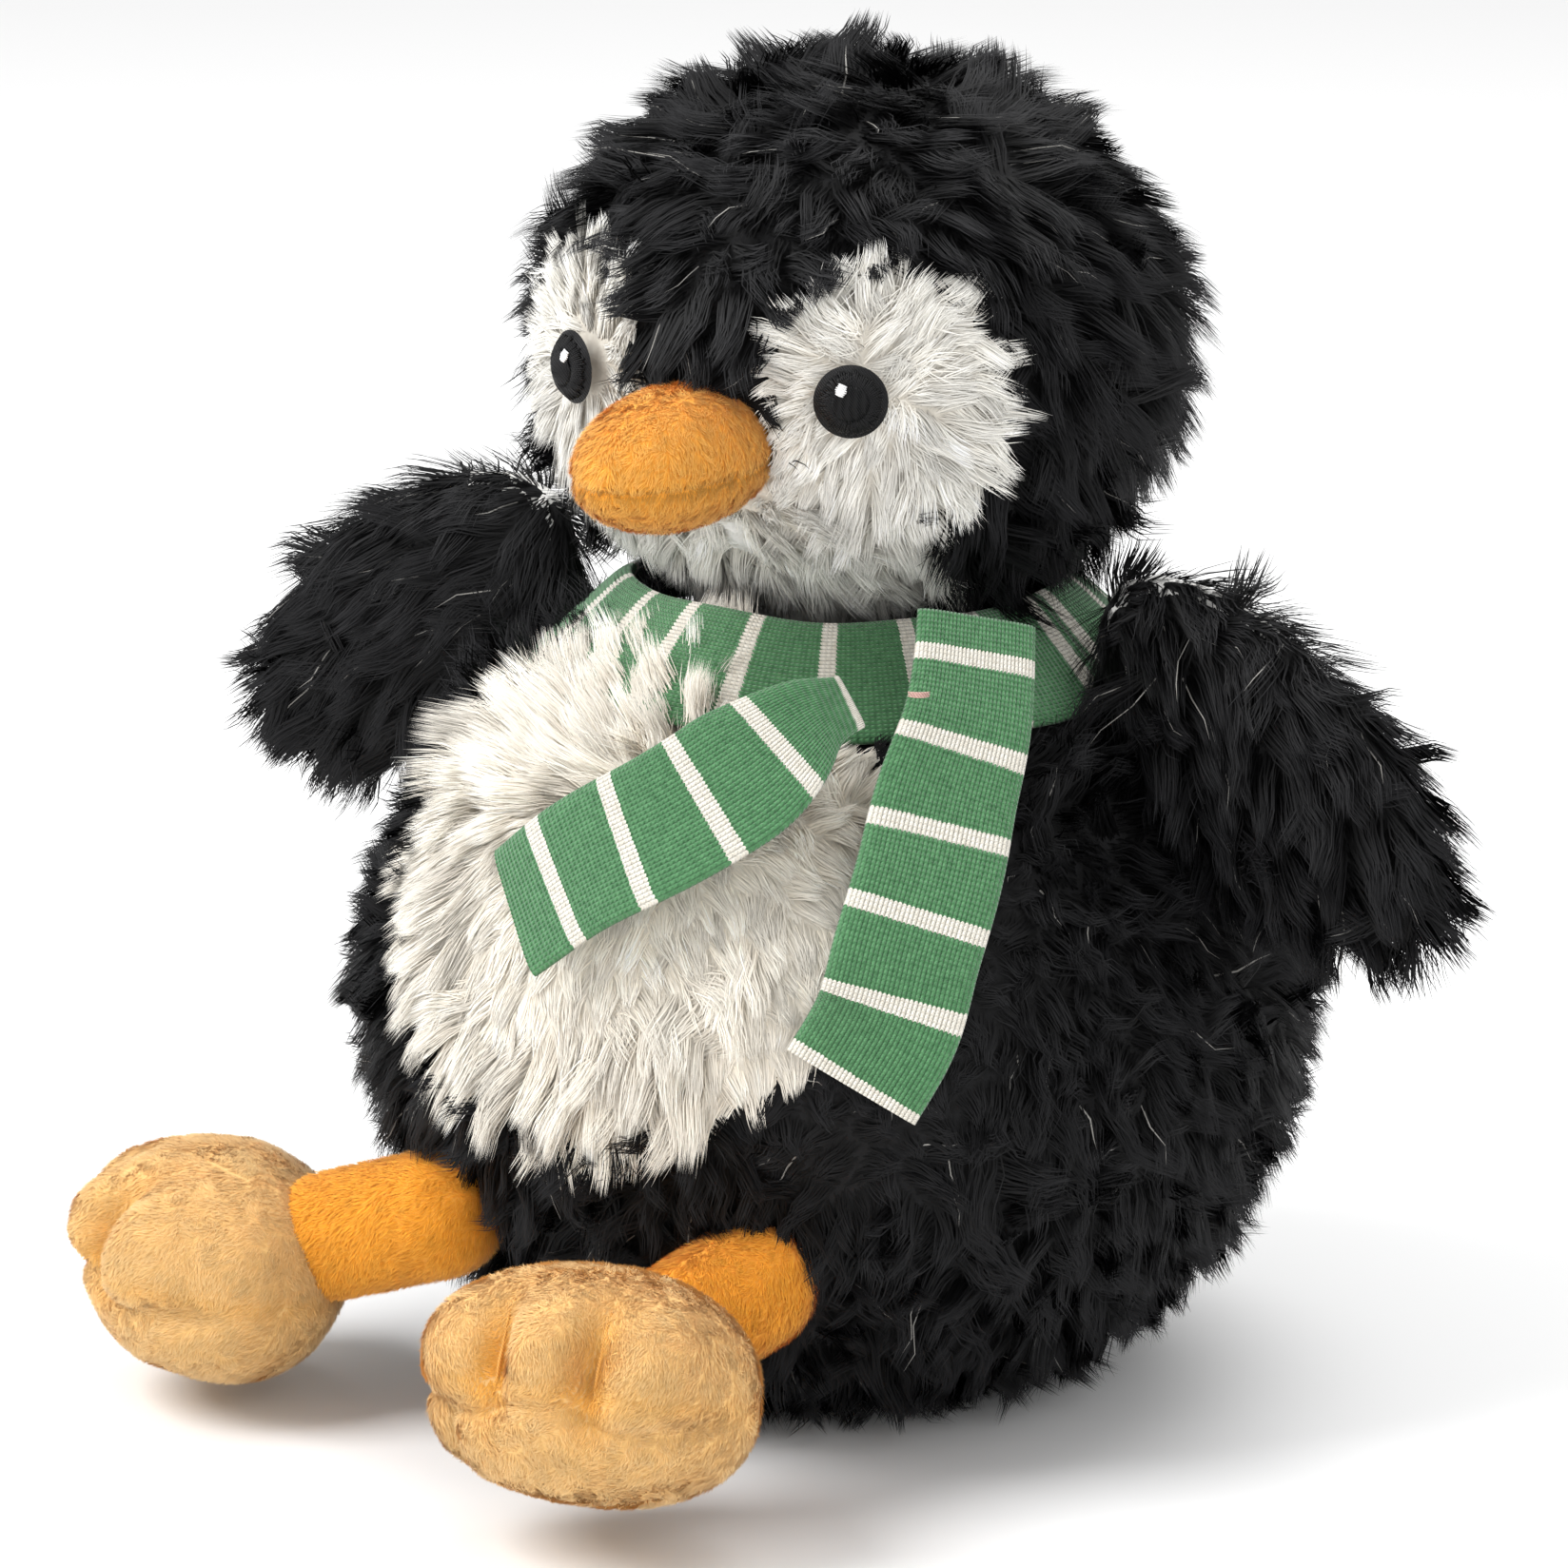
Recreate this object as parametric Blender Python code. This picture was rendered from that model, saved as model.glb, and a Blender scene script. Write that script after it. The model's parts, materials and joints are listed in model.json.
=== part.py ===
"""Seated plush penguin with a knitted scarf, in metres, +Z up, its front towards -Y.

The origin is the centre of the flat seat. Every fabric panel is its own solid, one pile
thick, and every stuffing is the solid that fills the panels around it.
"""

import math

import bmesh
import bpy
from mathutils import Matrix, Vector

# ---- driving dimensions -------------------------------------------------------------------
GAP = 0.0003  # between two pieces that touch
PILE = 0.005  # thickness of a long-pile panel, backing and packed pile
SHORT_PILE = 0.003  # thickness of a short-pile panel
SEAM = GAP / 2  # each side of a seam gives up half the gap

BODY_Y = -0.004  # the belly hangs a little forward of the seat's centre
# Half outline of the body, radius and height, from the seat's edge up to the neck.
BODY_OUTLINE = [
    (0.034, 0.0005), (0.049, 0.006), (0.062, 0.015), (0.0735, 0.0275), (0.082, 0.042), (0.088, 0.058),
    (0.0905, 0.074), (0.088, 0.091), (0.0815, 0.1075), (0.070, 0.124), (0.055, 0.1375), (0.032, 0.1455),
]
SEAT_RADIUS = BODY_OUTLINE[0][0] - 0.0006
SIDE_SEAM_Y = 0.012  # the seam between the front and the two back panels
BELLY_CENTRE_Z = 0.104
BELLY_HALF = (0.051, 0.037)  # half width and half height of the cream belly

NECK = Vector((0.0, 0.002, 0.147))  # where the head turns and nods
NECK_BALL = 0.019
SOCKET_PLAY = 0.0012  # room all round a ball that turns
HEAD_TURN = math.radians(4.5)  # the head looks slightly to its left
HEAD_CENTRE = Vector((0.0, 0.001, 0.0495))  # from the neck
HEAD_RADII = (0.062, 0.062, 0.0535)
HEAD_MESH = (28, 14)  # segments round the head, rings from top to bottom
CROWN_HALF = 0.021  # half width of the strip from the beak over to the back
# Each white face region is a ball that cuts the head: centre from the head's centre, radii.
FACE_BALLS = [
    ((-0.0335, -0.050, -0.002), (0.0195, 0.034, 0.0255)),
    ((0.0335, -0.050, -0.002), (0.0195, 0.034, 0.0255)),
    ((0.0, -0.046, -0.038), (0.043, 0.036, 0.027)),
]
BEAK_CENTRE = (0.0, -0.0660, -0.0108)  # from the head's centre
BEAK_RADII = (0.0165, 0.0275, 0.0145)
EYE_ANGLE = math.radians(28.5)
EYE_RADIUS = 0.006
EYE_THICK = 0.0014
EYE_RISE = 0.0005  # height of the eyes over the head's centre
GLINT_RADIUS = 0.0013

WING_LENGTH = 0.090
WING_WIDTH = 0.051
WING_THICK = 0.019
WING_DROOP = math.radians(37)
WING_SHOULDER = Vector((0.057, -0.005, 0.159))  # where the wing's middle line starts
WING_HINGE = Vector((0.069, -0.005, 0.146))
WING_LIFTS = [math.radians(lift) for lift in (0, 20, 40)]  # room the wing's root has to lift
WING_PLAY = 0.0016  # room between a wing and the body and scarf

LEG_RADIUS = 0.0135
# Hip and ankle balls, foot centre, foot heading from -Y and foot pitch, for each leg.
LEGS = {
    "left": (Vector((0.0320, -0.0785, 0.040)), Vector((0.0297, -0.0941, 0.0365)),
             Vector((0.0261, -0.1182, 0.031)), math.radians(10), math.radians(15)),
    "right": (Vector((-0.0365, -0.0790, 0.0415)), Vector((-0.0578, -0.0820, 0.0344)),
              Vector((-0.0822, -0.0854, 0.0262)), math.radians(-48), math.radians(8)),
}
LEG_SWINGS = [math.radians(turn) for turn in (-12, 0, 12)]  # room each leg has to swing sideways
FOOT_HALF = (0.0320, 0.0270, 0.0225)  # half width, half length, half thickness
TOE_SPACING = 0.019  # between the two pinch stitches of a foot
STITCH_RADIUS = 0.0006

SCARF_WIDTH = 0.0265
SCARF_THICK = 0.003
BAND_TOP = (0.0460, 0.1505)  # radius and height of the neck band's inner top edge
BAND_SLOPE = math.radians(42)  # how far the band lies down on the shoulders
# Middle line of each tail: angle from -Y towards +X in degrees, radius and height.
TAILS = {
    "left": [(54, 0.0660, 0.1540), (51, 0.0745, 0.1410), (47, 0.0800, 0.1290), (44, 0.0860, 0.1165),
             (41, 0.0895, 0.1040), (40, 0.0925, 0.0920), (40, 0.0945, 0.0820)],
    "right": [(28.5, 0.0735, 0.1420), (21, 0.0800, 0.1345), (12, 0.0855, 0.1255), (2, 0.0890, 0.1160),
              (-6, 0.0925, 0.1060)],
}
TACK_LENGTH = 0.005

BEAN_BAG = (0.032, 0.010)  # radius and half height of the pellet bag in the seat

BLACK, CREAM, WHITE = (0.012, 0.012, 0.014), (0.80, 0.75, 0.66), (0.82, 0.79, 0.72)
GOLD, ORANGE, BEAK_ORANGE = (0.70, 0.43, 0.13), (0.78, 0.31, 0.03), (0.75, 0.36, 0.05)
GREEN, THREAD, FILLING = (0.07, 0.22, 0.09), (0.75, 0.52, 0.45), (0.85, 0.85, 0.83)


# ---- helpers ------------------------------------------------------------------------------
def clear_scene():
    for obj in list(bpy.data.objects):
        bpy.data.objects.remove(obj, do_unlink=True)


def material(name, colour, roughness=0.9, metallic=0.0):
    found = bpy.data.materials.get(name)
    if found:
        return found
    made = bpy.data.materials.new(name)
    made.use_nodes = True
    shader = made.node_tree.nodes["Principled BSDF"]
    shader.inputs["Base Color"].default_value = (*colour, 1.0)
    shader.inputs["Roughness"].default_value = roughness
    shader.inputs["Metallic"].default_value = metallic
    made.diffuse_color = (*colour, 1.0)
    return made


def add_object(name, mesh_builder, surface=None, parent=None):
    """Make an object from a bmesh; without a surface it is a cutter."""
    bmesh.ops.recalc_face_normals(mesh_builder, faces=mesh_builder.faces)
    mesh = bpy.data.meshes.new(name)
    mesh_builder.to_mesh(mesh)
    mesh_builder.free()
    mesh.shade_smooth()
    mesh.set_sharp_from_angle(angle=math.radians(40))
    obj = bpy.data.objects.new(name, mesh)
    bpy.context.scene.collection.objects.link(obj)
    obj.parent = parent
    if surface:
        mesh.materials.append(surface)
    else:
        obj.hide_render = True
        obj.display_type = "WIRE"
    return obj


def add_empty(name, location, angle=0.0, parent=None):
    empty = bpy.data.objects.new(name, None)
    empty.empty_display_size = 0.01
    empty.location = location
    empty.rotation_euler = (0.0, 0.0, angle)
    bpy.context.scene.collection.objects.link(empty)
    empty.parent = parent
    return empty


def boolean(obj, cutter, operation):
    modifier = obj.modifiers.new(operation.lower() + " " + cutter.name, "BOOLEAN")
    modifier.object = cutter
    modifier.operation = operation
    modifier.solver = "EXACT"


def keep(obj, *cutters):
    for cutter in cutters:
        boolean(obj, cutter, "INTERSECT")


def remove(obj, *cutters):
    for cutter in cutters:
        boolean(obj, cutter, "DIFFERENCE")


def facing(direction):
    """The turn that brings local Z to this direction."""
    return direction.to_track_quat("Z", "Y").to_matrix().to_4x4()


def box_mesh(low, high):
    builder = bmesh.new()
    middle = (Vector(low) + Vector(high)) / 2
    size = Vector(high) - Vector(low)
    placed = Matrix.Translation(middle) @ Matrix.Diagonal((*size, 1.0))
    bmesh.ops.create_cube(builder, size=1.0, matrix=placed)
    return builder


def ball_mesh(centre, radii, segments=18, rings=10):
    builder = bmesh.new()
    placed = Matrix.Translation(Vector(centre)) @ Matrix.Diagonal((*radii, 1.0))
    bmesh.ops.create_uvsphere(builder, u_segments=segments, v_segments=rings, radius=1.0, matrix=placed)
    return builder


def spun_mesh(outline, centre=(0.0, 0.0), segments=32, closed=False):
    """Turn an outline of (radius, height) about a vertical line; closed joins its ends."""
    builder = bmesh.new()
    rings = []
    for step in range(segments):
        angle = 2 * math.pi * step / segments
        rings.append([
            builder.verts.new((centre[0] + r * math.cos(angle), centre[1] + r * math.sin(angle), z))
            for r, z in outline
        ])
    spans = len(outline) if closed else len(outline) - 1
    for step in range(segments):
        here, after = rings[step], rings[(step + 1) % segments]
        for i in range(spans):
            j = (i + 1) % len(outline)
            builder.faces.new((here[i], after[i], after[j], here[j]))
    if not closed:
        builder.faces.new([ring[0] for ring in rings])
        builder.faces.new([ring[-1] for ring in reversed(rings)])
    return builder


def smooth_outline(points, per_span=1):
    """A Catmull-Rom curve through the outline's points."""
    ends = [points[0], *points, points[-1]]
    curve = []
    for i in range(1, len(ends) - 2):
        before, start, end, after = (Vector(p) for p in ends[i - 1:i + 3])
        for step in range(per_span):
            t = step / per_span
            curve.append(tuple(0.5 * (
                2 * start + (end - before) * t
                + (2 * before - 5 * start + 4 * end - after) * t ** 2
                + (3 * start - before - 3 * end + after) * t ** 3
            )))
    curve.append(tuple(points[-1]))
    return curve


def inset_outline(points, depth):
    """The outline moved inwards, square to itself."""
    moved = []
    for i, point in enumerate(points):
        tangent = Vector(points[min(i + 1, len(points) - 1)]) - Vector(points[max(i - 1, 0)])
        inwards = Vector((-tangent.y, tangent.x)).normalized()
        moved.append(tuple(Vector(point) + inwards * depth))
    return moved


def squashed_ball(radii, power, segments=18, rings=8):
    """A ball with fuller corners than an ellipsoid: power 1 is an ellipsoid, lower is boxier."""
    builder = ball_mesh((0, 0, 0), (1, 1, 1), segments, rings)
    for vert in builder.verts:
        flat = math.hypot(vert.co.x, vert.co.y)
        lift = abs(vert.co.z) ** power * (1 if vert.co.z > 0 else -1)
        spread = flat ** (power - 1) if flat > 1e-6 else 0.0
        vert.co = (vert.co.x * spread * radii[0], vert.co.y * spread * radii[1], lift * radii[2])
    return builder


# ---- body ---------------------------------------------------------------------------------
def build_body(neck_cut, hip_cuts, hip_balls):
    black = material("black_long_pile", BLACK)
    outer = smooth_outline(BODY_OUTLINE)
    inner = inset_outline(outer, PILE)
    shell = outer + inner[::-1]
    belly = [("belly_cut_large", SEAM), ("belly_cut_small", -SEAM)]
    large, small = (add_object(name, belly_cut(grow)) for name, grow in belly)

    far = 0.2
    regions = {
        "body_back_left": ((SEAM, SIDE_SEAM_Y + SEAM, -far), (far, far, far)),
        "body_back_right": ((-far, SIDE_SEAM_Y + SEAM, -far), (-SEAM, far, far)),
        "body_front": ((-far, -far, -far), (far, SIDE_SEAM_Y - SEAM, far)),
    }
    for name, (low, high) in regions.items():
        panel = add_object(name, spun_mesh(shell, (0, BODY_Y), closed=True), black)
        keep(panel, add_object(name + "_region", box_mesh(low, high)))
        if name == "body_front":
            remove(panel, large, *hip_cuts)
    belly_panel = add_object(
        "belly_panel", spun_mesh(shell, (0, BODY_Y), closed=True), material("cream_long_pile", CREAM)
    )
    keep(belly_panel, small)

    seat = spun_mesh([(SEAT_RADIUS, 0.0), (SEAT_RADIUS - PILE / 2, PILE)], (0, BODY_Y))
    add_object("seat_gusset", seat, black)

    filling = inset_outline(outer, PILE + GAP)
    filling = [(r, max(z, PILE + GAP)) for r, z in filling if r > 0.012]
    stuffing = add_object("body_stuffing", spun_mesh(filling, (0, BODY_Y)), material("filling", FILLING))
    radius, half = BEAN_BAG
    bag = squashed_ball((radius, radius, half), 0.6)
    bag_centre = Vector((0, BODY_Y, PILE + half + 2 * GAP))
    bmesh.ops.translate(bag, verts=bag.verts, vec=bag_centre)
    add_object("pellet_bag", bag, material("bag_cloth", CREAM))
    recess = spun_mesh([(radius + GAP, 0.0), (radius + GAP, bag_centre.z + half + GAP)], (0, BODY_Y))
    remove(stuffing, add_object("bag_recess", recess))
    remove(stuffing, neck_cut, *hip_balls)


def belly_cut(grow):
    """An oval bar along Y, the outline of the belly panel."""
    builder = bmesh.new()
    placed = (
        Matrix.Translation((0.0, -0.08, BELLY_CENTRE_Z))
        @ Matrix.Rotation(math.pi / 2, 4, "X")
        @ Matrix.Diagonal((BELLY_HALF[0] + grow, BELLY_HALF[1] + grow, 1.0, 1.0))
    )
    bmesh.ops.create_cone(
        builder, cap_ends=True, segments=28, radius1=1.0, radius2=1.0, depth=0.15, matrix=placed
    )
    return builder


# ---- head ---------------------------------------------------------------------------------
def grown(radii, extra):
    return tuple(r + extra for r in radii)


def head_shell(inner_extra):
    """Two nested balls: the outside of the head and the inside of its panels."""
    builder = ball_mesh(HEAD_CENTRE, HEAD_RADII, *HEAD_MESH)
    inner = ball_mesh(HEAD_CENTRE, grown(HEAD_RADII, inner_extra), *HEAD_MESH)
    bmesh.ops.reverse_faces(inner, faces=inner.faces)
    scratch = bpy.data.meshes.new("scratch")
    inner.to_mesh(scratch)
    inner.free()
    builder.from_mesh(scratch)
    bpy.data.meshes.remove(scratch)
    return builder


def add_shell(name, surface, parent):
    """A head panel before it is cut; the nested balls keep their own facing."""
    builder = head_shell(-PILE)
    mesh = bpy.data.meshes.new(name)
    builder.to_mesh(mesh)
    builder.free()
    mesh.shade_smooth()
    mesh.set_sharp_from_angle(angle=math.radians(40))
    mesh.materials.append(surface)
    obj = bpy.data.objects.new(name, mesh)
    obj.parent = parent
    bpy.context.scene.collection.objects.link(obj)
    return obj


def face_cut(name, grow, parent):
    """The balls that mark off the white face, joined into one cutter."""
    first, *others = (
        add_object(f"{name}_{i}", ball_mesh(HEAD_CENTRE + Vector(centre), grown(radii, grow)), None, parent)
        for i, (centre, radii) in enumerate(FACE_BALLS)
    )
    for other in others:
        boolean(first, other, "UNION")
    return first


def build_head(pivot, neck_ball):
    black = material("black_long_pile", BLACK)
    white = material("white_long_pile", WHITE)
    large, small = face_cut("face_large", SEAM, pivot), face_cut("face_small", -SEAM, pivot)
    far = 0.2
    strip = CROWN_HALF
    regions = {
        "head_side_left": ((strip + SEAM, -far, -far), (far, far, far)),
        "head_side_right": ((-far, -far, -far), (-strip - SEAM, far, far)),
        "head_crown": ((-strip + SEAM, -far, HEAD_CENTRE.z - 0.03), (strip - SEAM, far, far)),
        "head_nape": ((-strip + SEAM, 0.01, -far), (strip - SEAM, far, HEAD_CENTRE.z - 0.03 - GAP)),
        "face_left": ((SEAM, -far, -far), (far, -0.004, far)),
        "face_right": ((-far, -far, -far), (-SEAM, -0.004, far)),
    }
    for name, (low, high) in regions.items():
        is_face = name.startswith("face")
        panel = add_shell(name, white if is_face else black, pivot)
        keep(panel, add_object(name + "_region", box_mesh(low, high), None, pivot))
        if is_face:
            keep(panel, small)
        else:
            remove(panel, large)
        remove(panel, neck_ball)
    stuffing = add_object(
        "head_stuffing", ball_mesh(HEAD_CENTRE, grown(HEAD_RADII, -PILE - GAP), *HEAD_MESH),
        material("filling", FILLING), pivot,
    )
    remove(stuffing, neck_ball)
    build_beak(pivot)
    for side, name in ((1, "left"), (-1, "right")):
        build_eye(side, name, pivot)


def build_beak(pivot):
    orange = material("orange_short_pile", BEAK_ORANGE)
    centre = HEAD_CENTRE + Vector(BEAK_CENTRE)
    skull = add_object("beak_seat", ball_mesh(HEAD_CENTRE, grown(HEAD_RADII, GAP), *HEAD_MESH), None, pivot)
    core = add_object("beak_core", ball_mesh(centre, grown(BEAK_RADII, -SHORT_PILE)), None, pivot)
    far = 0.2
    halves = {
        "beak_upper": ((-far, -far, centre.z + SEAM), (far, far, far)),
        "beak_lower": ((-far, -far, -far), (far, far, centre.z - SEAM)),
    }
    for name, (low, high) in halves.items():
        half = add_object(name, ball_mesh(centre, BEAK_RADII), orange, pivot)
        keep(half, add_object(name + "_region", box_mesh(low, high), None, pivot))
        remove(half, core, skull)
    stuffing = add_object(
        "beak_stuffing", ball_mesh(centre, grown(BEAK_RADII, -SHORT_PILE - GAP)),
        material("filling", FILLING), pivot,
    )
    remove(stuffing, skull)


def build_eye(side, name, pivot):
    """An embroidered disc, with a small white glint sewn on it."""
    down = Vector((side * math.sin(EYE_ANGLE), -math.cos(EYE_ANGLE), 0.0))
    height = EYE_RISE / HEAD_RADII[2]
    surface = HEAD_CENTRE + down * HEAD_RADII[0] * math.sqrt(1 - height ** 2) + Vector((0, 0, EYE_RISE))
    turned = facing(down)
    lift = GAP * 1.5 + EYE_THICK / 2
    add_disc(f"eye_{name}", surface + down * lift, turned, EYE_RADIUS, EYE_THICK,
             material("black_thread", BLACK, 0.5), pivot)
    across = Vector((math.cos(EYE_ANGLE), side * math.sin(EYE_ANGLE), 0.0))
    glint = surface + across * EYE_RADIUS * 0.3 + Vector((0, 0, EYE_RADIUS * 0.45))
    add_disc(f"eye_glint_{name}", glint + down * (lift + EYE_THICK / 2 + GAP * 1.5), turned,
             GLINT_RADIUS, GAP * 1.5, material("white_thread", WHITE, 0.5), pivot)


def add_disc(name, centre, turned, radius, thickness, surface, parent):
    builder = bmesh.new()
    bmesh.ops.create_cone(builder, cap_ends=True, segments=20, radius1=radius, radius2=radius,
                          depth=thickness, matrix=Matrix.Translation(centre) @ turned)
    add_object(name, builder, surface, parent)


# ---- limbs --------------------------------------------------------------------------------
def half_solids(prefix, names, radii, power, surface, parent, placed, wall, cutters):
    """Two fabric halves that meet at the local plane z = 0, and the stuffing inside them."""
    inner = grown(radii, -wall)

    def shaped(size):
        builder = squashed_ball(size, power)
        bmesh.ops.transform(builder, matrix=placed, verts=builder.verts)
        return builder

    far = max(radii) * 2
    core = add_object(f"{prefix}_core", shaped(inner), None, parent)
    for sign, name in zip((1, -1), names):
        low, high = (-far, -far, SEAM), (far, far, far)
        if sign < 0:
            low, high = (-far, -far, -far), (far, far, -SEAM)
        region = box_mesh(low, high)
        bmesh.ops.transform(region, matrix=placed, verts=region.verts)
        half = add_object(f"{prefix}_{name}", shaped(radii), surface, parent)
        keep(half, add_object(f"{prefix}_{name}_region", region, None, parent))
        remove(half, core, *cutters)
    stuffing = add_object(f"{prefix}_stuffing", shaped(grown(inner, -GAP)), material("filling", FILLING), parent)
    remove(stuffing, *cutters)


def wing_room(side, name, pivot):
    """The body and scarf with some room around them, turned back through the wing's lift."""
    around = [p for p in inset_outline(BODY_OUTLINE, -WING_PLAY) if p[0] > BAND_TOP[0] + SCARF_WIDTH / 2]
    band_edge = BAND_TOP[0] + SCARF_WIDTH * math.cos(BAND_SLOPE) + SCARF_THICK + WING_PLAY
    band_low = BAND_TOP[1] - SCARF_WIDTH * math.sin(BAND_SLOPE) - WING_PLAY
    around += [(band_edge, band_low), (band_edge, band_low + SCARF_THICK * 2)]
    around += [(BAND_TOP[0] + SCARF_THICK + WING_PLAY, BAND_TOP[1] + SCARF_THICK + WING_PLAY)]
    copies = []
    for i, lift in enumerate(WING_LIFTS):
        builder = spun_mesh(around, (0, 0))
        turned = Matrix.Rotation(side * lift, 4, "Y") @ Matrix.Translation(-pivot.location)
        bmesh.ops.transform(builder, matrix=turned, verts=builder.verts)
        copies.append(add_object(f"wing_{name}_room_{i}", builder, None, pivot))
    return copies


def build_wing(side, name):
    """A flat paddle that hangs beside the shoulder and lifts about its sewn root."""
    hinge = Vector((side * WING_HINGE.x, WING_HINGE.y, WING_HINGE.z))
    pivot = add_empty(f"wing_{name}_pivot", hinge)
    room = wing_room(side, name, pivot)
    along = Vector((side * math.cos(WING_DROOP), 0, -math.sin(WING_DROOP)))
    front = Vector((0, -1, 0))
    across = front.cross(along)
    shoulder = Vector((side * WING_SHOULDER.x, WING_SHOULDER.y, WING_SHOULDER.z))
    centre = shoulder + along * WING_LENGTH / 2 - hinge
    placed = Matrix.Translation(centre) @ Matrix((along, across, front)).transposed().to_4x4()
    radii = (WING_LENGTH / 2, WING_WIDTH / 2, WING_THICK / 2)
    half_solids(f"wing_{name}", ("front", "back"), radii, 0.85, material("black_long_pile", BLACK),
                pivot, placed, PILE * 0.7, room)


def build_leg(name, ankle_cut):
    hip, ankle, foot_centre, heading, pitch = LEGS[name]
    orange = material("orange_leg_pile", ORANGE)
    leg_pivot = add_empty(f"leg_{name}_pivot", hip)
    reach = ankle - hip
    length = reach.length
    turned = facing(reach)
    for part, radius, surface in (("sleeve", LEG_RADIUS, orange),
                                  ("stuffing", LEG_RADIUS - SHORT_PILE - GAP, material("filling", FILLING))):
        builder = capsule(radius, length, turned)
        obj = add_object(f"leg_{name}_{part}", builder, surface, leg_pivot)
        if part == "sleeve":
            core = capsule(LEG_RADIUS - SHORT_PILE, length, turned)
            mouth = bmesh.new()
            bmesh.ops.create_cone(mouth, cap_ends=True, segments=20, radius1=0.004, radius2=0.004, depth=0.03,
                                  matrix=turned @ Matrix.Translation((0, 0, -0.015)))
            remove(obj, add_object(f"leg_{name}_core", core, None, leg_pivot),
                   add_object(f"leg_{name}_mouth", mouth, None, leg_pivot))

    foot_pivot = add_empty(f"foot_{name}_pivot", ankle - hip, 0.0, leg_pivot)
    placed = (
        Matrix.Translation(foot_centre - ankle)
        @ Matrix.Rotation(heading, 4, "Z")
        @ Matrix.Rotation(-pitch, 4, "X")
        @ Matrix.Rotation(math.pi, 4, "Z")
    )
    half_solids(f"foot_{name}", ("top", "sole"), FOOT_HALF, 0.8, material("gold_short_pile", GOLD),
                foot_pivot, placed, SHORT_PILE, [ankle_cut])
    for side, mark in ((-1, "inner"), (1, "outer")):
        build_toe_stitch(f"toe_stitch_{name}_{mark}", side, foot_pivot, placed)


def build_toe_stitch(name, side, parent, placed):
    """A short thread pulled over the toe edge, which pinches the foot into toes."""
    builder = bmesh.new()
    across = side * TOE_SPACING / 2
    edge = FOOT_HALF[1] * math.sqrt(1 - (across / FOOT_HALF[0]) ** 2)
    rail = edge + 0.0009
    thick = FOOT_HALF[2] * 0.42
    bmesh.ops.create_cone(
        builder, cap_ends=True, segments=10, radius1=STITCH_RADIUS, radius2=STITCH_RADIUS, depth=thick,
        matrix=placed @ Matrix.Translation((across, rail, 0.0)),
    )
    add_object(name, builder, material("gold_thread", GOLD), parent)


def capsule(radius, length, turned, segments=16, rings=4):
    """A round-ended bar from the origin along local Z."""
    outline = [(radius * math.cos(a), radius * math.sin(a))
               for a in (-math.pi / 2 * (1 - (i + 0.35) / rings) for i in range(rings))]
    outline += [(r, length - z) for r, z in reversed(outline)]
    builder = spun_mesh(outline, segments=segments)
    bmesh.ops.transform(builder, matrix=turned, verts=builder.verts)
    return builder


# ---- scarf --------------------------------------------------------------------------------
def build_scarf():
    green = material("green_knit", GREEN, 0.85)
    top = Vector(BAND_TOP)
    down = Vector((math.cos(BAND_SLOPE), -math.sin(BAND_SLOPE))) * SCARF_WIDTH
    out = Vector((math.sin(BAND_SLOPE), math.cos(BAND_SLOPE))) * SCARF_THICK
    section = [tuple(top), tuple(top + down), tuple(top + down + out), tuple(top + out)]
    add_object("scarf_band", spun_mesh(section, closed=True, segments=48), green)
    for name, path in TAILS.items():
        build_tail(name, path, green)
    angle, radius, height = TAILS["right"][0]
    knot = on_ring(angle + 9, radius + 0.0075, height + 0.003)
    builder = bmesh.new()
    turned = Matrix.Rotation(math.radians(angle), 4, "Z") @ Matrix.Rotation(math.pi / 2, 4, "Y")
    bmesh.ops.create_cone(builder, cap_ends=True, segments=10, radius1=STITCH_RADIUS,
                          radius2=STITCH_RADIUS, depth=TACK_LENGTH, matrix=Matrix.Translation(knot) @ turned)
    add_object("scarf_tack_stitch", builder, material("pink_thread", THREAD))


def on_ring(angle, radius, height):
    turn = math.radians(angle)
    return Vector((radius * math.sin(turn), -radius * math.cos(turn), height))


def build_tail(name, path, surface):
    """A flat strip that follows its middle line, facing away from the body."""
    origin = on_ring(*path[0])
    pivot = add_empty(f"scarf_tail_{name}_pivot", origin)
    middle = [on_ring(*step) - origin for step in path]
    builder = bmesh.new()
    loops = []
    for i, point in enumerate(middle):
        along = (middle[min(i + 1, len(middle) - 1)] - middle[max(i - 1, 0)]).normalized()
        turn = math.radians(path[i][0])
        outwards = Vector((math.sin(turn), -math.cos(turn), 0.45))
        outwards = (outwards - along * outwards.dot(along)).normalized()
        wide = along.cross(outwards) * SCARF_WIDTH / 2
        thick = outwards * SCARF_THICK / 2
        corners = (wide + thick, -wide + thick, -wide - thick, wide - thick)
        loops.append([builder.verts.new(point + corner) for corner in corners])
    for here, after in zip(loops, loops[1:]):
        for i in range(4):
            j = (i + 1) % 4
            builder.faces.new((here[i], here[j], after[j], after[i]))
    builder.faces.new(loops[0])
    builder.faces.new(loops[-1][::-1])
    add_object(f"scarf_tail_{name}", builder, surface, pivot)


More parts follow.
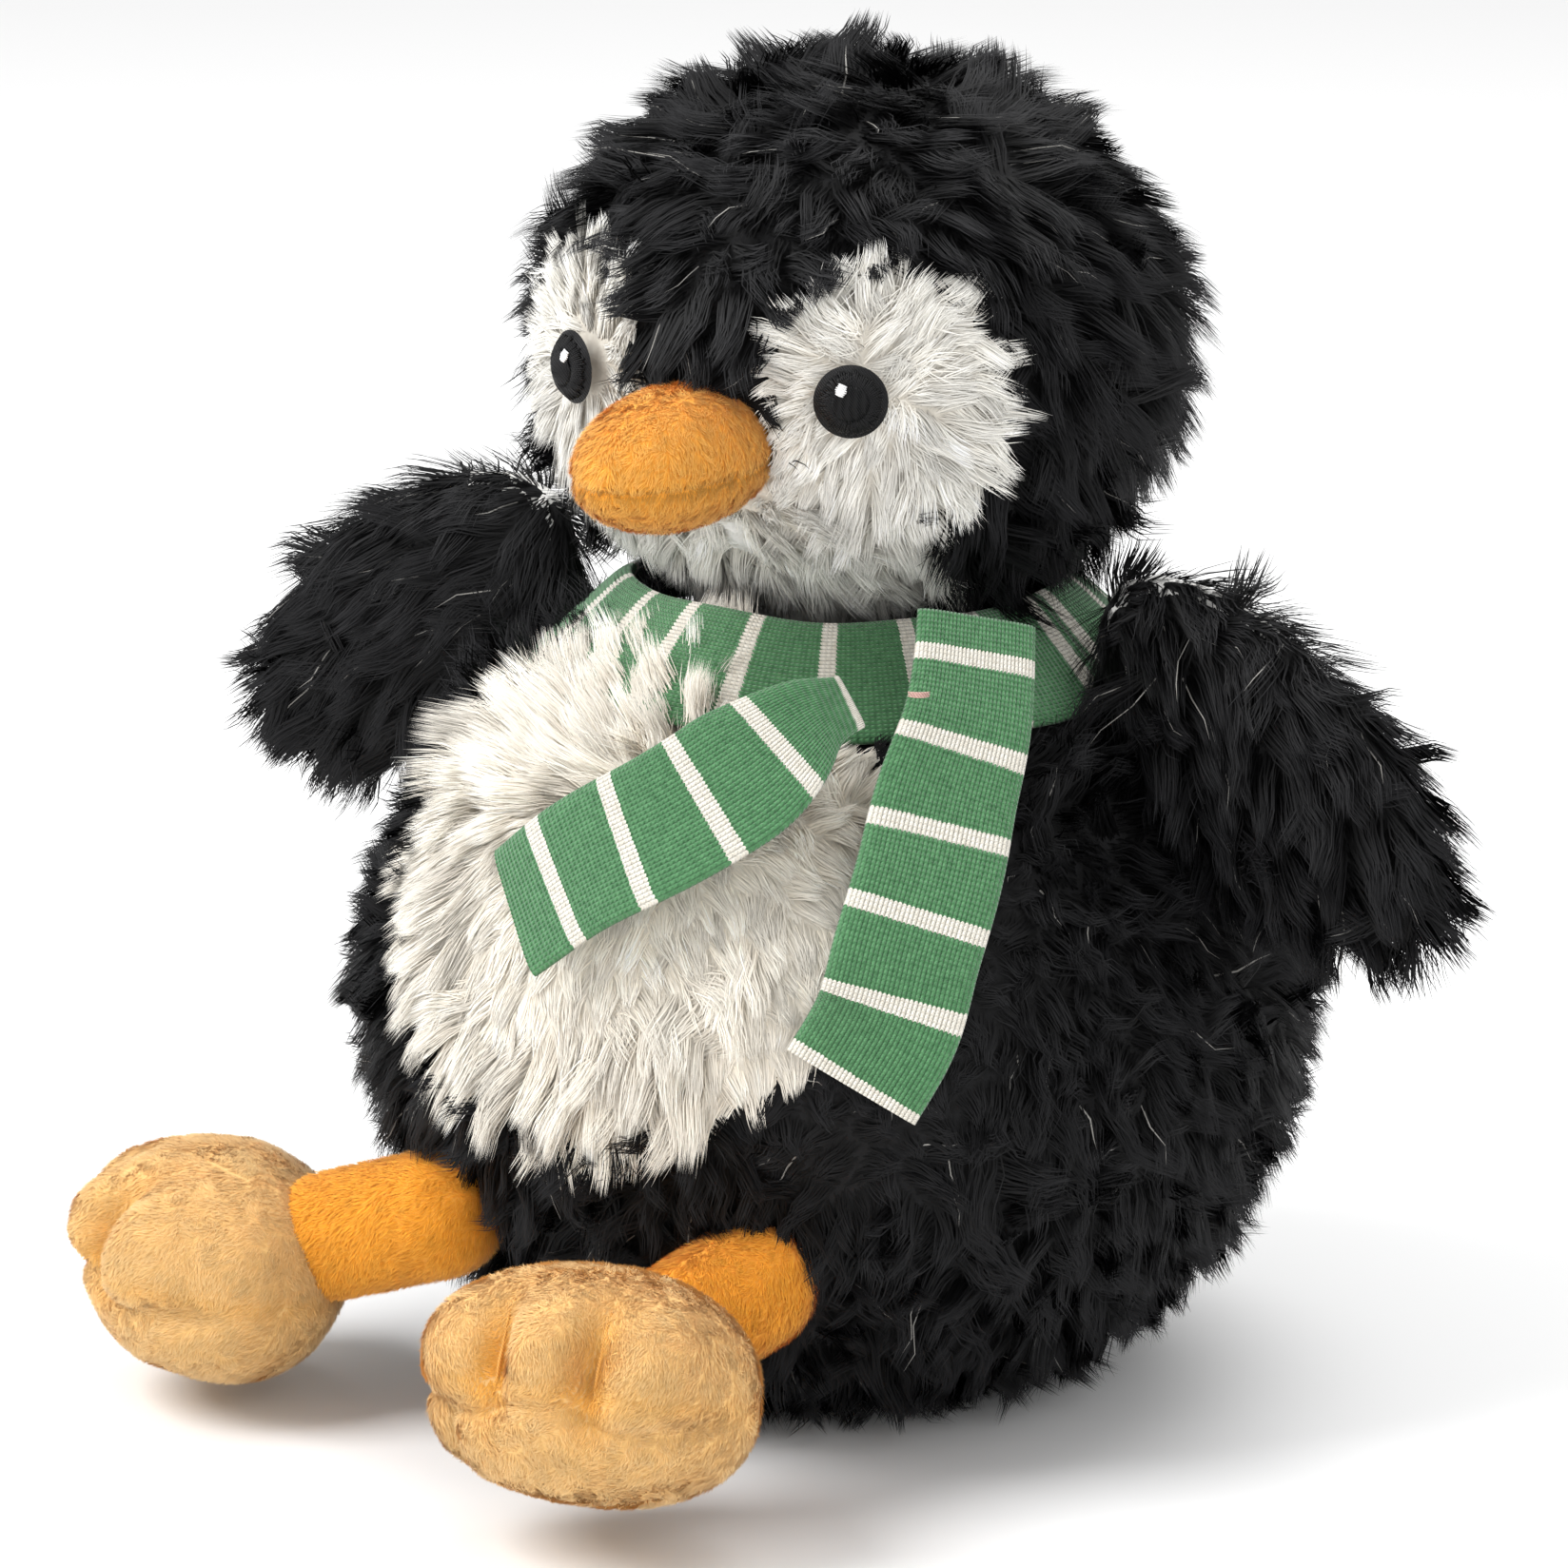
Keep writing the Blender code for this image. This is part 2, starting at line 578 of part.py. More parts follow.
# ---- the whole toy ------------------------------------------------------------------------
def build_penguin():
    clear_scene()
    neck_cut = add_object("neck_socket", ball_mesh(NECK, (NECK_BALL + SOCKET_PLAY,) * 3))
    hip_cuts, hip_balls, ankle_cuts = [], [], {}
    room = LEG_RADIUS + SOCKET_PLAY
    for name, (hip, ankle, *_) in LEGS.items():
        for i, swing in enumerate(LEG_SWINGS):
            reach = ankle - hip
            reach.rotate(Matrix.Rotation(swing, 3, "Z"))
            sleeve_room = capsule(room + abs(swing) * SOCKET_PLAY, reach.length, facing(reach))
            bmesh.ops.translate(sleeve_room, verts=sleeve_room.verts, vec=hip)
            hip_cuts.append(add_object(f"hip_socket_{name}_{i}", sleeve_room))
        hip_balls.append(add_object(f"hip_ball_{name}", ball_mesh(hip, (room + GAP,) * 3)))
        ankle_cuts[name] = add_object(f"ankle_socket_{name}", ball_mesh(ankle, (room,) * 3))
    build_body(neck_cut, hip_cuts, hip_balls)
    add_object("neck_core", ball_mesh(NECK, (NECK_BALL,) * 3), material("filling", FILLING))
    head_pivot = add_empty("head_pivot", NECK, HEAD_TURN)
    build_head(head_pivot, neck_cut)
    for side, name in ((1, "left"), (-1, "right")):
        build_wing(side, name)
    for name in LEGS:
        build_leg(name, ankle_cuts[name])
    build_scarf()


build_penguin()
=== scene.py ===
"""The looks of the seated plush penguin: sewn skins, pile, knitted scarf and embroidery.

Metres, +Z up, the belly towards -Y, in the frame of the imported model.
"""

import json
import math

import bpy
import numpy as np
from mathutils import Matrix, Vector, kdtree


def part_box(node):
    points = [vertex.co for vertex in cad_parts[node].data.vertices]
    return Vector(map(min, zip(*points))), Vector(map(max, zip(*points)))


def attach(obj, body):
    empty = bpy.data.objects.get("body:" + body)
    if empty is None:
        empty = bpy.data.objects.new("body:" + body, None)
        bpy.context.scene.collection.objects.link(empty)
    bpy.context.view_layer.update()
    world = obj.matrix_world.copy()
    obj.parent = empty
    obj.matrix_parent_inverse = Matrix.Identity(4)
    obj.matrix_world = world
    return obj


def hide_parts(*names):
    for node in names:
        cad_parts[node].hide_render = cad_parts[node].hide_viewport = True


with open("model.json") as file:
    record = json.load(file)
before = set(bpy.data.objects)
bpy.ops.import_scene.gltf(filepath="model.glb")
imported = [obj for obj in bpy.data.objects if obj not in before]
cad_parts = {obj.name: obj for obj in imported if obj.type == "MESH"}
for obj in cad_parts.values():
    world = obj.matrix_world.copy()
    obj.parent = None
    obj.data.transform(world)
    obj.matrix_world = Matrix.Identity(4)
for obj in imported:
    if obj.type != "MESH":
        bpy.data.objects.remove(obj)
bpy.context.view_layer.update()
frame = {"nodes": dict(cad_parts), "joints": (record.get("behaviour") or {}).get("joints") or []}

MM = 0.001
PILE_DEPTH = 5 * MM  # the sewn skin lies this far inside a long-pile panel's outer face
SHORT_DEPTH = 1.6 * MM  # and this far inside a short-pile one's
UP = np.array((0.0, 0.0, 1.0))
FUR_SHARE = 1.0
FLOOR_GAP = 0.4 * MM  # strands stop this far over the floor
SEAT_HEIGHT = 0.6 * MM  # the skin's flat seat over the floor

# ---- places, some read from the frame and the rest given ----
BODY_Y = sum(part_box("seat_gusset")[i].y for i in (0, 1)) / 2
BODY_OUTLINE = [
    (0.034, 0.0005), (0.049, 0.006), (0.062, 0.015), (0.0735, 0.0275), (0.082, 0.042), (0.088, 0.058),
    (0.0905, 0.074), (0.088, 0.091), (0.0815, 0.1075), (0.070, 0.124), (0.055, 0.1375), (0.032, 0.1455),
]
JOINTS = {joint["name"]: joint for joint in frame["joints"]}
NECK = np.array(JOINTS["head_turn"]["pos_m"])
HEAD_TURN = math.atan2(JOINTS["head_nod"]["axis"][1], JOINTS["head_nod"]["axis"][0])
HEAD_RADII = np.array((0.062, 0.062, 0.0535))
HEAD_LOCAL = np.array((0.0, 0.001, 0.0495))  # the head's centre, from the neck


def rotation(angle, axis="Z"):
    return np.array(Matrix.Rotation(angle, 3, axis))


HEAD_FRAME = rotation(HEAD_TURN)
HEAD_CENTRE = NECK + HEAD_FRAME @ HEAD_LOCAL
BELLY_CENTRE_Z = 0.104
BELLY_HALF = (0.051, 0.037)
FACE_BALLS = [
    ((-0.0335, -0.050, -0.002), (0.0195, 0.034, 0.0255)),
    ((0.0335, -0.050, -0.002), (0.0195, 0.034, 0.0255)),
    ((0.0, -0.046, -0.038), (0.043, 0.036, 0.027)),
]
BEAK_CENTRE = np.array((0.0, -0.0660, -0.0108))
BEAK_RADII = np.array((0.0165, 0.0275, 0.0145))
EYE_ANGLE = math.radians(28.5)
EYE_RADIUS = 6 * MM
EYE_RISE = 0.5 * MM
WING_HALF = np.array((0.045, 0.0255, 0.0095))
WING_DROOP = math.radians(37)
WING_SHOULDER = np.array((0.057, -0.005, 0.159))
LEG_RADIUS = 13.5 * MM
FEET = {  # centre, heading from -Y and pitch
    "left": (np.array((0.0261, -0.1182, 0.031)), math.radians(10), math.radians(15)),
    "right": (np.array((-0.0822, -0.0854, 0.0262)), math.radians(-48), math.radians(8)),
}
FOOT_HALF = np.array((0.0320, 0.0270, 0.0225))
TOE_SPACING = 19 * MM

# ---- camera ----
CAMERA_AZIMUTH, CAMERA_ELEVATION = math.radians(34.5), math.radians(15)
CAMERA_DISTANCE = 1.8
CAMERA_TARGET = Vector((-0.0255, 0.0162, 0.1036))
FRAME_WIDTH = 0.2966  # width of the view at the target


# ---- materials ----
def new_material(name, roughness=0.8, sheen=0.0, specular=0.3):
    made = bpy.data.materials.new(name)
    made.use_nodes = True
    shader = made.node_tree.nodes["Principled BSDF"]
    shader.inputs["Roughness"].default_value = roughness
    shader.inputs["Sheen Weight"].default_value = sheen
    shader.inputs["Specular IOR Level"].default_value = specular
    return made, made.node_tree, shader


def node(tree, kind, **settings):
    made = tree.nodes.new(kind)
    for key, value in settings.items():
        if key in made.inputs:
            made.inputs[key].default_value = value
        else:
            setattr(made, key, value)
    return made


def noise(tree, scale, detail=3.0):
    place = node(tree, "ShaderNodeTexCoord")
    made = node(tree, "ShaderNodeTexNoise", Scale=scale, Detail=detail)
    tree.links.new(place.outputs["Object"], made.inputs["Vector"])
    return made


def ramp(tree, source, stops):
    made = node(tree, "ShaderNodeValToRGB")
    while len(made.color_ramp.elements) < len(stops):
        made.color_ramp.elements.new(0.5)
    for element, (position, colour) in zip(made.color_ramp.elements, stops):
        element.position = position
        element.color = (*colour, 1.0)
    tree.links.new(source, made.inputs["Fac"])
    return made.outputs["Color"]


def blended(tree, mode, factor, first, second):
    made = node(tree, "ShaderNodeMix", data_type="RGBA", blend_type=mode)
    made.inputs[0].default_value = factor
    for socket, value in zip((made.inputs[6], made.inputs[7]), (first, second)):
        if isinstance(value, tuple):
            socket.default_value = (*value, 1.0)
        else:
            tree.links.new(value, socket)
    return made.outputs[2]


def add_bump(tree, shader, height, distance, strength=1.0):
    bump = node(tree, "ShaderNodeBump", Distance=distance, Strength=strength)
    tree.links.new(height, bump.inputs["Height"])
    tree.links.new(bump.outputs["Normal"], shader.inputs["Normal"])


def pile_material(name, roughness, sheen, specular, patch_scale=60.0, patch_dark=0.86):
    """Fibres: the pile's own colour in each strand with painted shade, dark at the root and light at the tip, and faint
    patches over it.
    """
    made, tree, shader = new_material(name, roughness, sheen, specular)
    fibre_and_shade = node(tree, "ShaderNodeAttribute", attribute_name="fibre_and_shade")
    patches = ramp(tree, noise(tree, patch_scale).outputs["Fac"],
                   [(0.3, (patch_dark,) * 3), (0.7, (1.0, 1.0, 1.0))])
    colour = blended(tree, "MULTIPLY", 1.0, fibre_and_shade.outputs["Color"], patches)
    tree.links.new(colour, shader.inputs["Base Color"])
    return made


def cloth_material(name, dark, light, scale=400.0, roughness=0.9, depth=0.3 * MM):
    """Matt backing cloth, thread or filling: two tones of fine noise, raised a little."""
    made, tree, shader = new_material(name, roughness, 0.1, 0.2)
    grain = noise(tree, scale)
    tree.links.new(ramp(tree, grain.outputs["Fac"], [(0.3, dark), (0.7, light)]), shader.inputs["Base Color"])
    add_bump(tree, shader, grain.outputs["Fac"], depth)
    return made


# ---- mesh helpers ----
def mesh_object(name, points, faces, surface, smooth=True):
    mesh = bpy.data.meshes.new(name)
    mesh.from_pydata([tuple(p) for p in points], [], [tuple(f) for f in faces])
    mesh.update()
    obj = bpy.data.objects.new(name, mesh)
    bpy.context.scene.collection.objects.link(obj)
    if smooth:
        mesh.shade_smooth()
    if surface:
        mesh.materials.append(surface)
    return obj


def grid_faces(rows, columns, wrap):
    """Quads of a grid of rows by columns points; wrap joins the last column to the first."""
    faces = []
    for r in range(rows - 1):
        for c in range(columns if wrap else columns - 1):
            d = (c + 1) % columns
            faces.append((r * columns + c, r * columns + d, (r + 1) * columns + d, (r + 1) * columns + c))
    return faces


def ball_grid(columns, rows):
    """Unit directions of a ball from bottom to top, and its faces, closed with fans."""
    tilt = np.linspace(-math.pi / 2, math.pi / 2, rows)[1:-1]
    turn = np.linspace(0, 2 * math.pi, columns, endpoint=False)
    tilt, turn = np.meshgrid(tilt, turn, indexing="ij")
    ring = np.stack((np.cos(tilt) * np.cos(turn), np.cos(tilt) * np.sin(turn), np.sin(tilt)), -1)
    points = np.vstack((ring.reshape(-1, 3), [(0, 0, -1), (0, 0, 1)]))
    faces = grid_faces(rows - 2, columns, True)
    bottom, top, last = len(points) - 2, len(points) - 1, (rows - 3) * columns
    for c in range(columns):
        d = (c + 1) % columns
        faces.append((bottom, d, c))
        faces.append((top, last + c, last + d))
    return points, faces


def unit(vectors):
    return vectors / np.maximum(np.linalg.norm(vectors, axis=-1, keepdims=True), 1e-12)


def fullness(directions, power):
    """Directions of a ball pushed out towards a boxier, fuller shape."""
    flat = np.hypot(directions[:, 0], directions[:, 1])
    spread = np.where(flat > 1e-6, np.maximum(flat, 1e-6) ** (power - 1), 0.0)
    lift = np.sign(directions[:, 2]) * np.abs(directions[:, 2]) ** power
    return np.stack((directions[:, 0] * spread, directions[:, 1] * spread, lift), -1)


def ripple(points, scale, seed):
    """Smooth noise from -1 to 1 at each point, with features about scale across."""
    rng = np.random.default_rng(seed)
    total = np.zeros(len(points))
    for _ in range(7):
        wave = unit(rng.normal(size=3)) * (2 * math.pi / scale) * rng.uniform(0.6, 1.5)
        total += np.sin(points @ wave + rng.uniform(0, 2 * math.pi))
    return total / 4.0


def bell(distance, width):
    return np.exp(-((distance / width) ** 2))


def smooth_step(value, low, high):
    t = np.clip((value - low) / (high - low), 0, 1)
    return t * t * (3 - 2 * t)


# ---- sewn skins under the pile ----
def curve_through(ends, steps):
    """Catmull-Rom curve through all of the points but the first and the last."""
    ends = np.array(ends, float)
    t = np.linspace(0, len(ends) - 3 - 1e-9, steps)
    i = t.astype(int)
    t = (t - i)[:, None]
    a, b, c, d = (ends[i + k] for k in range(4))
    return 0.5 * (2 * b + (c - a) * t + (2 * a - 5 * b + 4 * c - d) * t ** 2 + (3 * b - a - 3 * c + d) * t ** 3)


def inset(curve, depth):
    tangent = np.gradient(curve, axis=0)
    return curve + depth * unit(np.stack((-tangent[:, 1], tangent[:, 0]), -1))


def body_skin():
    rows, columns = 90, 160
    curve = inset(curve_through([BODY_OUTLINE[0], *BODY_OUTLINE, BODY_OUTLINE[-1]], rows), PILE_DEPTH)
    curve[:, 1] = np.maximum(curve[:, 1], SEAT_HEIGHT)
    seat = np.linspace(0.004, curve[0, 0], 8)[:-1]
    curve = np.vstack((np.stack((seat, np.full(len(seat), SEAT_HEIGHT)), -1), curve))
    turn = np.linspace(0, 2 * math.pi, columns, endpoint=False)
    points = np.stack((
        curve[:, :1] * np.cos(turn), BODY_Y + curve[:, :1] * np.sin(turn), np.repeat(curve[:, 1:], columns, 1)
    ), -1).reshape(-1, 3)
    faces = grid_faces(len(curve), columns, True)
    faces.append(tuple(range(columns))[::-1])
    faces.append(tuple(range(len(points) - columns, len(points))))
    return points, faces


def head_points():
    directions, faces = ball_grid(150, 90)
    local = directions * (HEAD_RADII - PILE_DEPTH)
    cheeks = sum(bell(np.linalg.norm(local - (side * 0.034, -0.036, -0.020), axis=1), 0.018) for side in (1, -1))
    crease = bell(local[:, 0], 0.005) * smooth_step(-local[:, 2], 0.012, 0.03) * (local[:, 1] < 0)
    local = local * (1 + 0.035 * cheeks - 0.03 * crease)[:, None]
    return local @ HEAD_FRAME.T + HEAD_CENTRE, faces


def wing_points(side):
    directions, faces = ball_grid(72, 36)
    local = fullness(directions, 0.85) * (WING_HALF - np.array((4, 4, 3.5)) * MM)
    along = np.array((side * math.cos(WING_DROOP), 0, -math.sin(WING_DROOP)))
    front = np.array((0.0, -1.0, 0.0))
    across = np.cross(front, along)
    shoulder = WING_SHOULDER * (side, 1, 1)
    centre = shoulder + along * (WING_HALF[0] + 1.0 * MM)
    points = centre + local @ np.stack((along, across, front))
    return points, faces


def foot_matrix(name):
    centre, heading, pitch = FEET[name]
    turn = rotation(heading) @ rotation(-pitch, "X") @ rotation(math.pi)
    return turn, centre


def foot_points():
    """A stuffed paddle, pinched at its front into three rounded toes over a seam."""
    directions, faces = ball_grid(150, 96)
    local = fullness(directions, 0.86) * (FOOT_HALF - SHORT_DEPTH)
    x, y, z = local.T
    front = smooth_step(y, 0.002, 0.016)
    groove = sum(bell(x - side * TOE_SPACING / 2, 0.0038) for side in (-1, 1))
    groove = groove * front * bell(z - 0.005, 0.0082)
    toe = sum(bell(np.hypot(x - k * TOE_SPACING, (z - 0.0055) * 0.9), 0.0078) for k in (-1, 0, 1)) * front
    seam = bell(z + 0.0045 - 0.0018 * np.cos(x / 0.0052), 0.0021) * smooth_step(y, -0.004, 0.010)
    crease = bell(x - 0.021 - 0.15 * z, 0.0016) * front * smooth_step(-z, 0.004, 0.010)
    heel = smooth_step(-y, 0.004, 0.024)
    push = 0.0042 * toe - 0.0078 * groove - 0.0022 * seam - 0.0016 * crease - 0.0020 * heel
    push += 0.0003 * ripple(local, 0.018, 3)
    return local + unit(local) * push[:, None], faces


def beak_local():
    directions, faces = ball_grid(100, 56)
    local = directions * (BEAK_RADII - SHORT_DEPTH)
    mouth = bell(local[:, 2] + 0.0012 - 0.02 * np.abs(local[:, 0]), 0.0009)
    local = local * (1 - 0.055 * mouth)[:, None]
    local[:, 2] *= np.where(local[:, 2] < 0, 0.93, 1.0)
    return local, faces


def leg_points(name):
    hip = np.array(JOINTS[f"leg_{name}_swing"]["pos_m"])
    ankle = np.array(JOINTS[f"foot_{name}_tilt"]["pos_m"])
    reach = ankle - hip
    length = np.linalg.norm(reach)
    turn = np.array(Vector(reach).to_track_quat("Z", "Y").to_matrix())
    directions, faces = ball_grid(72, 48)
    radius = LEG_RADIUS - SHORT_DEPTH
    local = directions * radius
    local[:, 2] += np.where(directions[:, 2] > 0, length, 0.0)
    wrinkle = 0.35 * MM * np.sin(local[:, 2] / (2.1 * MM)) * ripple(local, 0.02, 5)
    local[:, :2] *= (1 + wrinkle / radius)[:, None]
    return local @ turn.T + hip, faces


# ---- pile ----
STRAND_TAPER = 0.72  # the share of its width that a strand loses to its tip
LOCK_SPREAD = 1.4  # area of a lock, in squares of its spacing
LEAN_SCATTER, HEADING_SCATTER = 0.18, 0.07  # how much strands of one lock differ
CAP_CORNERS = 9  # a face with this many corners is a flat cap, and grows no pile


def scatter(points, faces, per_area, seed):
    """Random places on a surface, with smooth normals, as arrays."""
    rng = np.random.default_rng(seed)
    triangles = []
    for face in faces:
        if len(face) < CAP_CORNERS:
            triangles += [(face[0], face[k], face[k + 1]) for k in range(1, len(face) - 1)]
    triangles = np.array(triangles)
    a, b, c = (points[triangles[:, k]] for k in range(3))
    cross = np.cross(b - a, c - a)
    area = np.linalg.norm(cross, axis=1) / 2
    normals = np.zeros_like(points)
    for k in range(3):
        np.add.at(normals, triangles[:, k], cross)
    normals = unit(normals)
    count = int(area.sum() * per_area)
    chosen = rng.choice(len(area), count, p=area / area.sum())
    u, v = rng.random((2, count))
    flip = u + v > 1
    u[flip], v[flip] = 1 - u[flip], 1 - v[flip]
    weights = np.stack((1 - u - v, u, v), -1)[:, :, None]
    corners = triangles[chosen]
    return (points[corners] * weights).sum(1), unit((normals[corners] * weights).sum(1))


def grow(name, roots, normals, comb, look, seed, surface):
    """One mesh of tapered strands, each drawn towards the path of its lock's middle one.

    look holds lengths in metres, shares of the length for curl, droop and sag, and colours.
    """
    rng = np.random.default_rng(seed)
    count = len(roots)
    spacing = look["lock"]
    lock_count = max(8, int(count / max(look["per_area"] * spacing * spacing * LOCK_SPREAD, 1)))
    centres = rng.choice(count, min(lock_count, count), replace=False)
    tree = kdtree.KDTree(len(centres))
    for i, centre in enumerate(centres):
        tree.insert(roots[centre], i)
    tree.balance()
    lock = np.array([tree.find(root)[1] for root in roots])

    lock_lean = comb[centres] + look["swirl"] * rng.normal(size=(len(centres), 3))
    lock_length = rng.uniform(1 - look["uneven"], 1 + look["uneven"], len(centres))
    lock_wave = rng.uniform(0, 2 * math.pi, len(centres))
    lock_tone = rng.normal(size=len(centres))
    lock_lift = rng.uniform(-1, 1, len(centres)) * look["unlift"]

    lean = lock_lean[lock] + LEAN_SCATTER * rng.normal(size=(count, 3))
    lean = unit(lean - normals * (lean * normals).sum(1, keepdims=True))
    tilt = look["lean"] + lock_lift[lock]
    if "lean_at" in look:
        tilt = tilt + look["lean_at"](roots)
    tilt = np.clip(tilt, 0.03, 0.95)[:, None]
    heading = unit(normals * (1 - tilt) + lean * tilt + HEADING_SCATTER * rng.normal(size=(count, 3)))
    sideways = unit(np.cross(heading, normals))
    length = look["length"] * lock_length[lock] * rng.uniform(0.72, 1.1, count)
    if "length_at" in look:
        length = length * look["length_at"](roots)
    length = length[:, None]

    middle = roots[centres][lock]
    shared_lean = lock_lean[lock]
    shared_lean = unit(shared_lean - normals * (shared_lean * normals).sum(1, keepdims=True))
    middle_heading = unit(normals * (1 - tilt) + shared_lean * tilt)
    steps = look["steps"]
    path = []
    for t in steps:
        wave = look["curl"] * length * np.sin(t * look["turns"] + lock_wave[lock])[:, None] * t
        bend = sideways * wave + (lean * look["droop"] - UP * look["sag"]) * length * t * t
        own = roots + heading * length * t
        shared = middle + middle_heading * length * t
        path.append(own + bend + (shared - own) * look["gather"] * t)
    twist = rng.uniform(-1, 1, count)[:, None] * look["twist"]
    across = unit(sideways + normals * twist)
    facing = unit(np.cross(across, heading))
    outward = np.where((facing * normals).sum(1, keepdims=True) < 0, -1.0, 1.0)
    across, facing = across * outward, facing * outward  # every strand shows its front to the outside
    width = look["width"] * rng.uniform(0.7, 1.3, count)[:, None] / math.sqrt(FUR_SHARE)

    rows = len(steps)
    points = np.empty((count, 2 * rows - 1, 3))
    for k, t in enumerate(steps[:-1]):
        half = across * width * 0.5 * (1 - STRAND_TAPER * t ** 1.5)
        points[:, 2 * k], points[:, 2 * k + 1] = path[k] - half, path[k] + half
    points[:, -1] = path[-1]
    points[..., 2] = np.maximum(points[..., 2], FLOOR_GAP)
    per = 2 * rows - 1
    cells = [(2 * k, 2 * k + 1, 2 * k + 3, 2 * k + 2) for k in range(rows - 2)]
    quads = np.array(cells) if cells else np.zeros((0, 4), int)
    tip = np.array((2 * rows - 4, 2 * rows - 3, 2 * rows - 2))
    base = np.arange(count)[:, None] * per
    loops = np.hstack((np.tile(quads.reshape(-1), (count, 1)) + base, tip + base)).reshape(-1)
    sizes = np.tile([4] * len(cells) + [3], count)

    mesh = bpy.data.meshes.new(name)
    mesh.vertices.add(count * per)
    mesh.vertices.foreach_set("co", points.reshape(-1).astype(np.float32))
    mesh.loops.add(len(loops))
    mesh.loops.foreach_set("vertex_index", loops.astype(np.int32))
    mesh.polygons.add(len(sizes))
    starts = np.concatenate(([0], np.cumsum(sizes)[:-1]))
    mesh.polygons.foreach_set("loop_start", starts.astype(np.int32))
    mesh.update(calc_edges=True)

    level = np.repeat(np.array(steps), 2)[:-1]
    tone = (0.10 * lock_tone[lock] + 0.13 * rng.normal(size=count))[:, None, None] * look["vary"]
    # painted shade: each strand ramps from a dark root, shaded down in the pile, through the pile's own colour to a
    # light tip
    root, body, end = (np.array(look[key]) for key in ("root", "colour", "tip"))
    shade = np.where(level[:, None] < 0.5, root + (body - root) * level[:, None] * 2,
                     body + (end - body) * (level[:, None] * 2 - 1))
    colour = np.clip(shade[None] * (1 + tone), 0, 1)
    # painted shade in grooves, creases and undersides, from the look's own function
    if "tint" in look:
        colour = colour * look["tint"](roots)[:, None, :]
    stray = rng.random(count) < look.get("stray", 0.0)
    colour[stray] = np.array(look.get("stray_colour", body))
    rgba = np.concatenate((colour, np.ones((count, per, 1))), -1).reshape(-1)
    mesh.attributes.new("fibre_and_shade", "FLOAT_COLOR", "POINT").data.foreach_set("color", rgba.astype(np.float32))

    side = math.ceil(math.sqrt(count))
    place = np.stack((np.arange(count) % side, np.arange(count) // side), -1)[:, None, :]
    inner = np.stack((np.tile((0.25, 0.75), rows)[:-1], 0.2 + 0.6 * level), -1)[None]
    layout = ((place + inner) / side).reshape(-1, 2)
    mesh.uv_layers.new(name="OFBake").data.foreach_set("uv", layout[loops].reshape(-1).astype(np.float32))

    soft = unit(normals * look["soften"] + facing * (1 - look["soften"]) + heading * 0.15)
    mesh.polygons.foreach_set("use_smooth", np.ones(len(sizes), bool))
    mesh.normals_split_custom_set_from_vertices(np.repeat(soft, per, axis=0))
    mesh.materials.append(surface)
    obj = bpy.data.objects.new(name, mesh)
    bpy.context.scene.collection.objects.link(obj)
    return obj


def settle(*objs, body, padding=None, stands_for=(), slot=None):
    """Rides each piece on its body, and hides the imported parts that it stands for."""
    for obj in objs:
        if stands_for:
            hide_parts(*stands_for)
        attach(obj, body)


# ---- looks of the pile and of the skins ----
# root, colour and tip: the pile's own colour with painted shade, darkest at the root down in the pile and lightest at
# the tip
BLACK_LOOK = {"root": (0.002, 0.002, 0.0022), "colour": (0.005, 0.005, 0.0055), "tip": (0.017, 0.017, 0.0185),
              "stray_colour": (0.30, 0.29, 0.27)}
WHITE_LOOK = {"root": (0.66, 0.62, 0.55), "colour": (0.80, 0.775, 0.71), "tip": (0.88, 0.865, 0.82)}
CREAM_LOOK = {"root": (0.66, 0.60, 0.50), "colour": (0.80, 0.745, 0.65), "tip": (0.88, 0.84, 0.76)}
BEAK_LOOK = {"root": (0.74, 0.33, 0.045), "colour": (0.78, 0.37, 0.06), "tip": (0.86, 0.49, 0.13)}
LEG_LOOK = {"root": (0.76, 0.29, 0.018), "colour": (0.80, 0.32, 0.024), "tip": (0.88, 0.43, 0.06)}
FOOT_LOOK = {"root": (0.75, 0.45, 0.165), "colour": (0.76, 0.47, 0.18), "tip": (0.84, 0.60, 0.30)}
SKIN_BLACK = ((0.004, 0.004, 0.004), (0.010, 0.010, 0.011))
SKIN_PALE = ((0.55, 0.51, 0.44), (0.70, 0.66, 0.58))
SKIN_ORANGE = ((0.74, 0.30, 0.03), (0.78, 0.34, 0.045))
SKIN_FOOT = ((0.74, 0.46, 0.17), (0.78, 0.50, 0.20))

LONG_STEPS = (0.0, 0.4, 0.75, 1.0)
SHORT_STEPS = (0.0, 0.5, 1.0)
LONG_PILE = {
    "steps": LONG_STEPS, "lock": 5.5 * MM, "swirl": 0.55, "uneven": 0.22, "unlift": 0.12, "lean": 0.55,
    "droop": 0.15, "curl": 0.07, "turns": 5.0, "sag": 0.08, "gather": 0.68, "twist": 0.35,
    "width": 0.50 * MM, "vary": 1.0, "soften": 0.55,
}
SHORT_PILE = {
    "steps": SHORT_STEPS, "lock": 1.5 * MM, "swirl": 0.25, "uneven": 0.06, "unlift": 0.03, "lean": 0.76,
    "droop": 0.0, "curl": 0.02, "turns": 3.0, "sag": 0.0, "gather": 0.10, "twist": 0.15,
    "width": 0.19 * MM, "vary": 0.45, "soften": 0.50,
}


def face_measure(points):
    """Below 1 on the white face, 1 at its seam and above 1 away from it."""
    local = (points - HEAD_CENTRE) @ HEAD_FRAME
    local = local * (HEAD_RADII / (HEAD_RADII - PILE_DEPTH))
    return np.min([np.sqrt((((local - centre) / radii) ** 2).sum(1)) for centre, radii in FACE_BALLS], axis=0)


def in_face(points):
    return face_measure(points) < 1


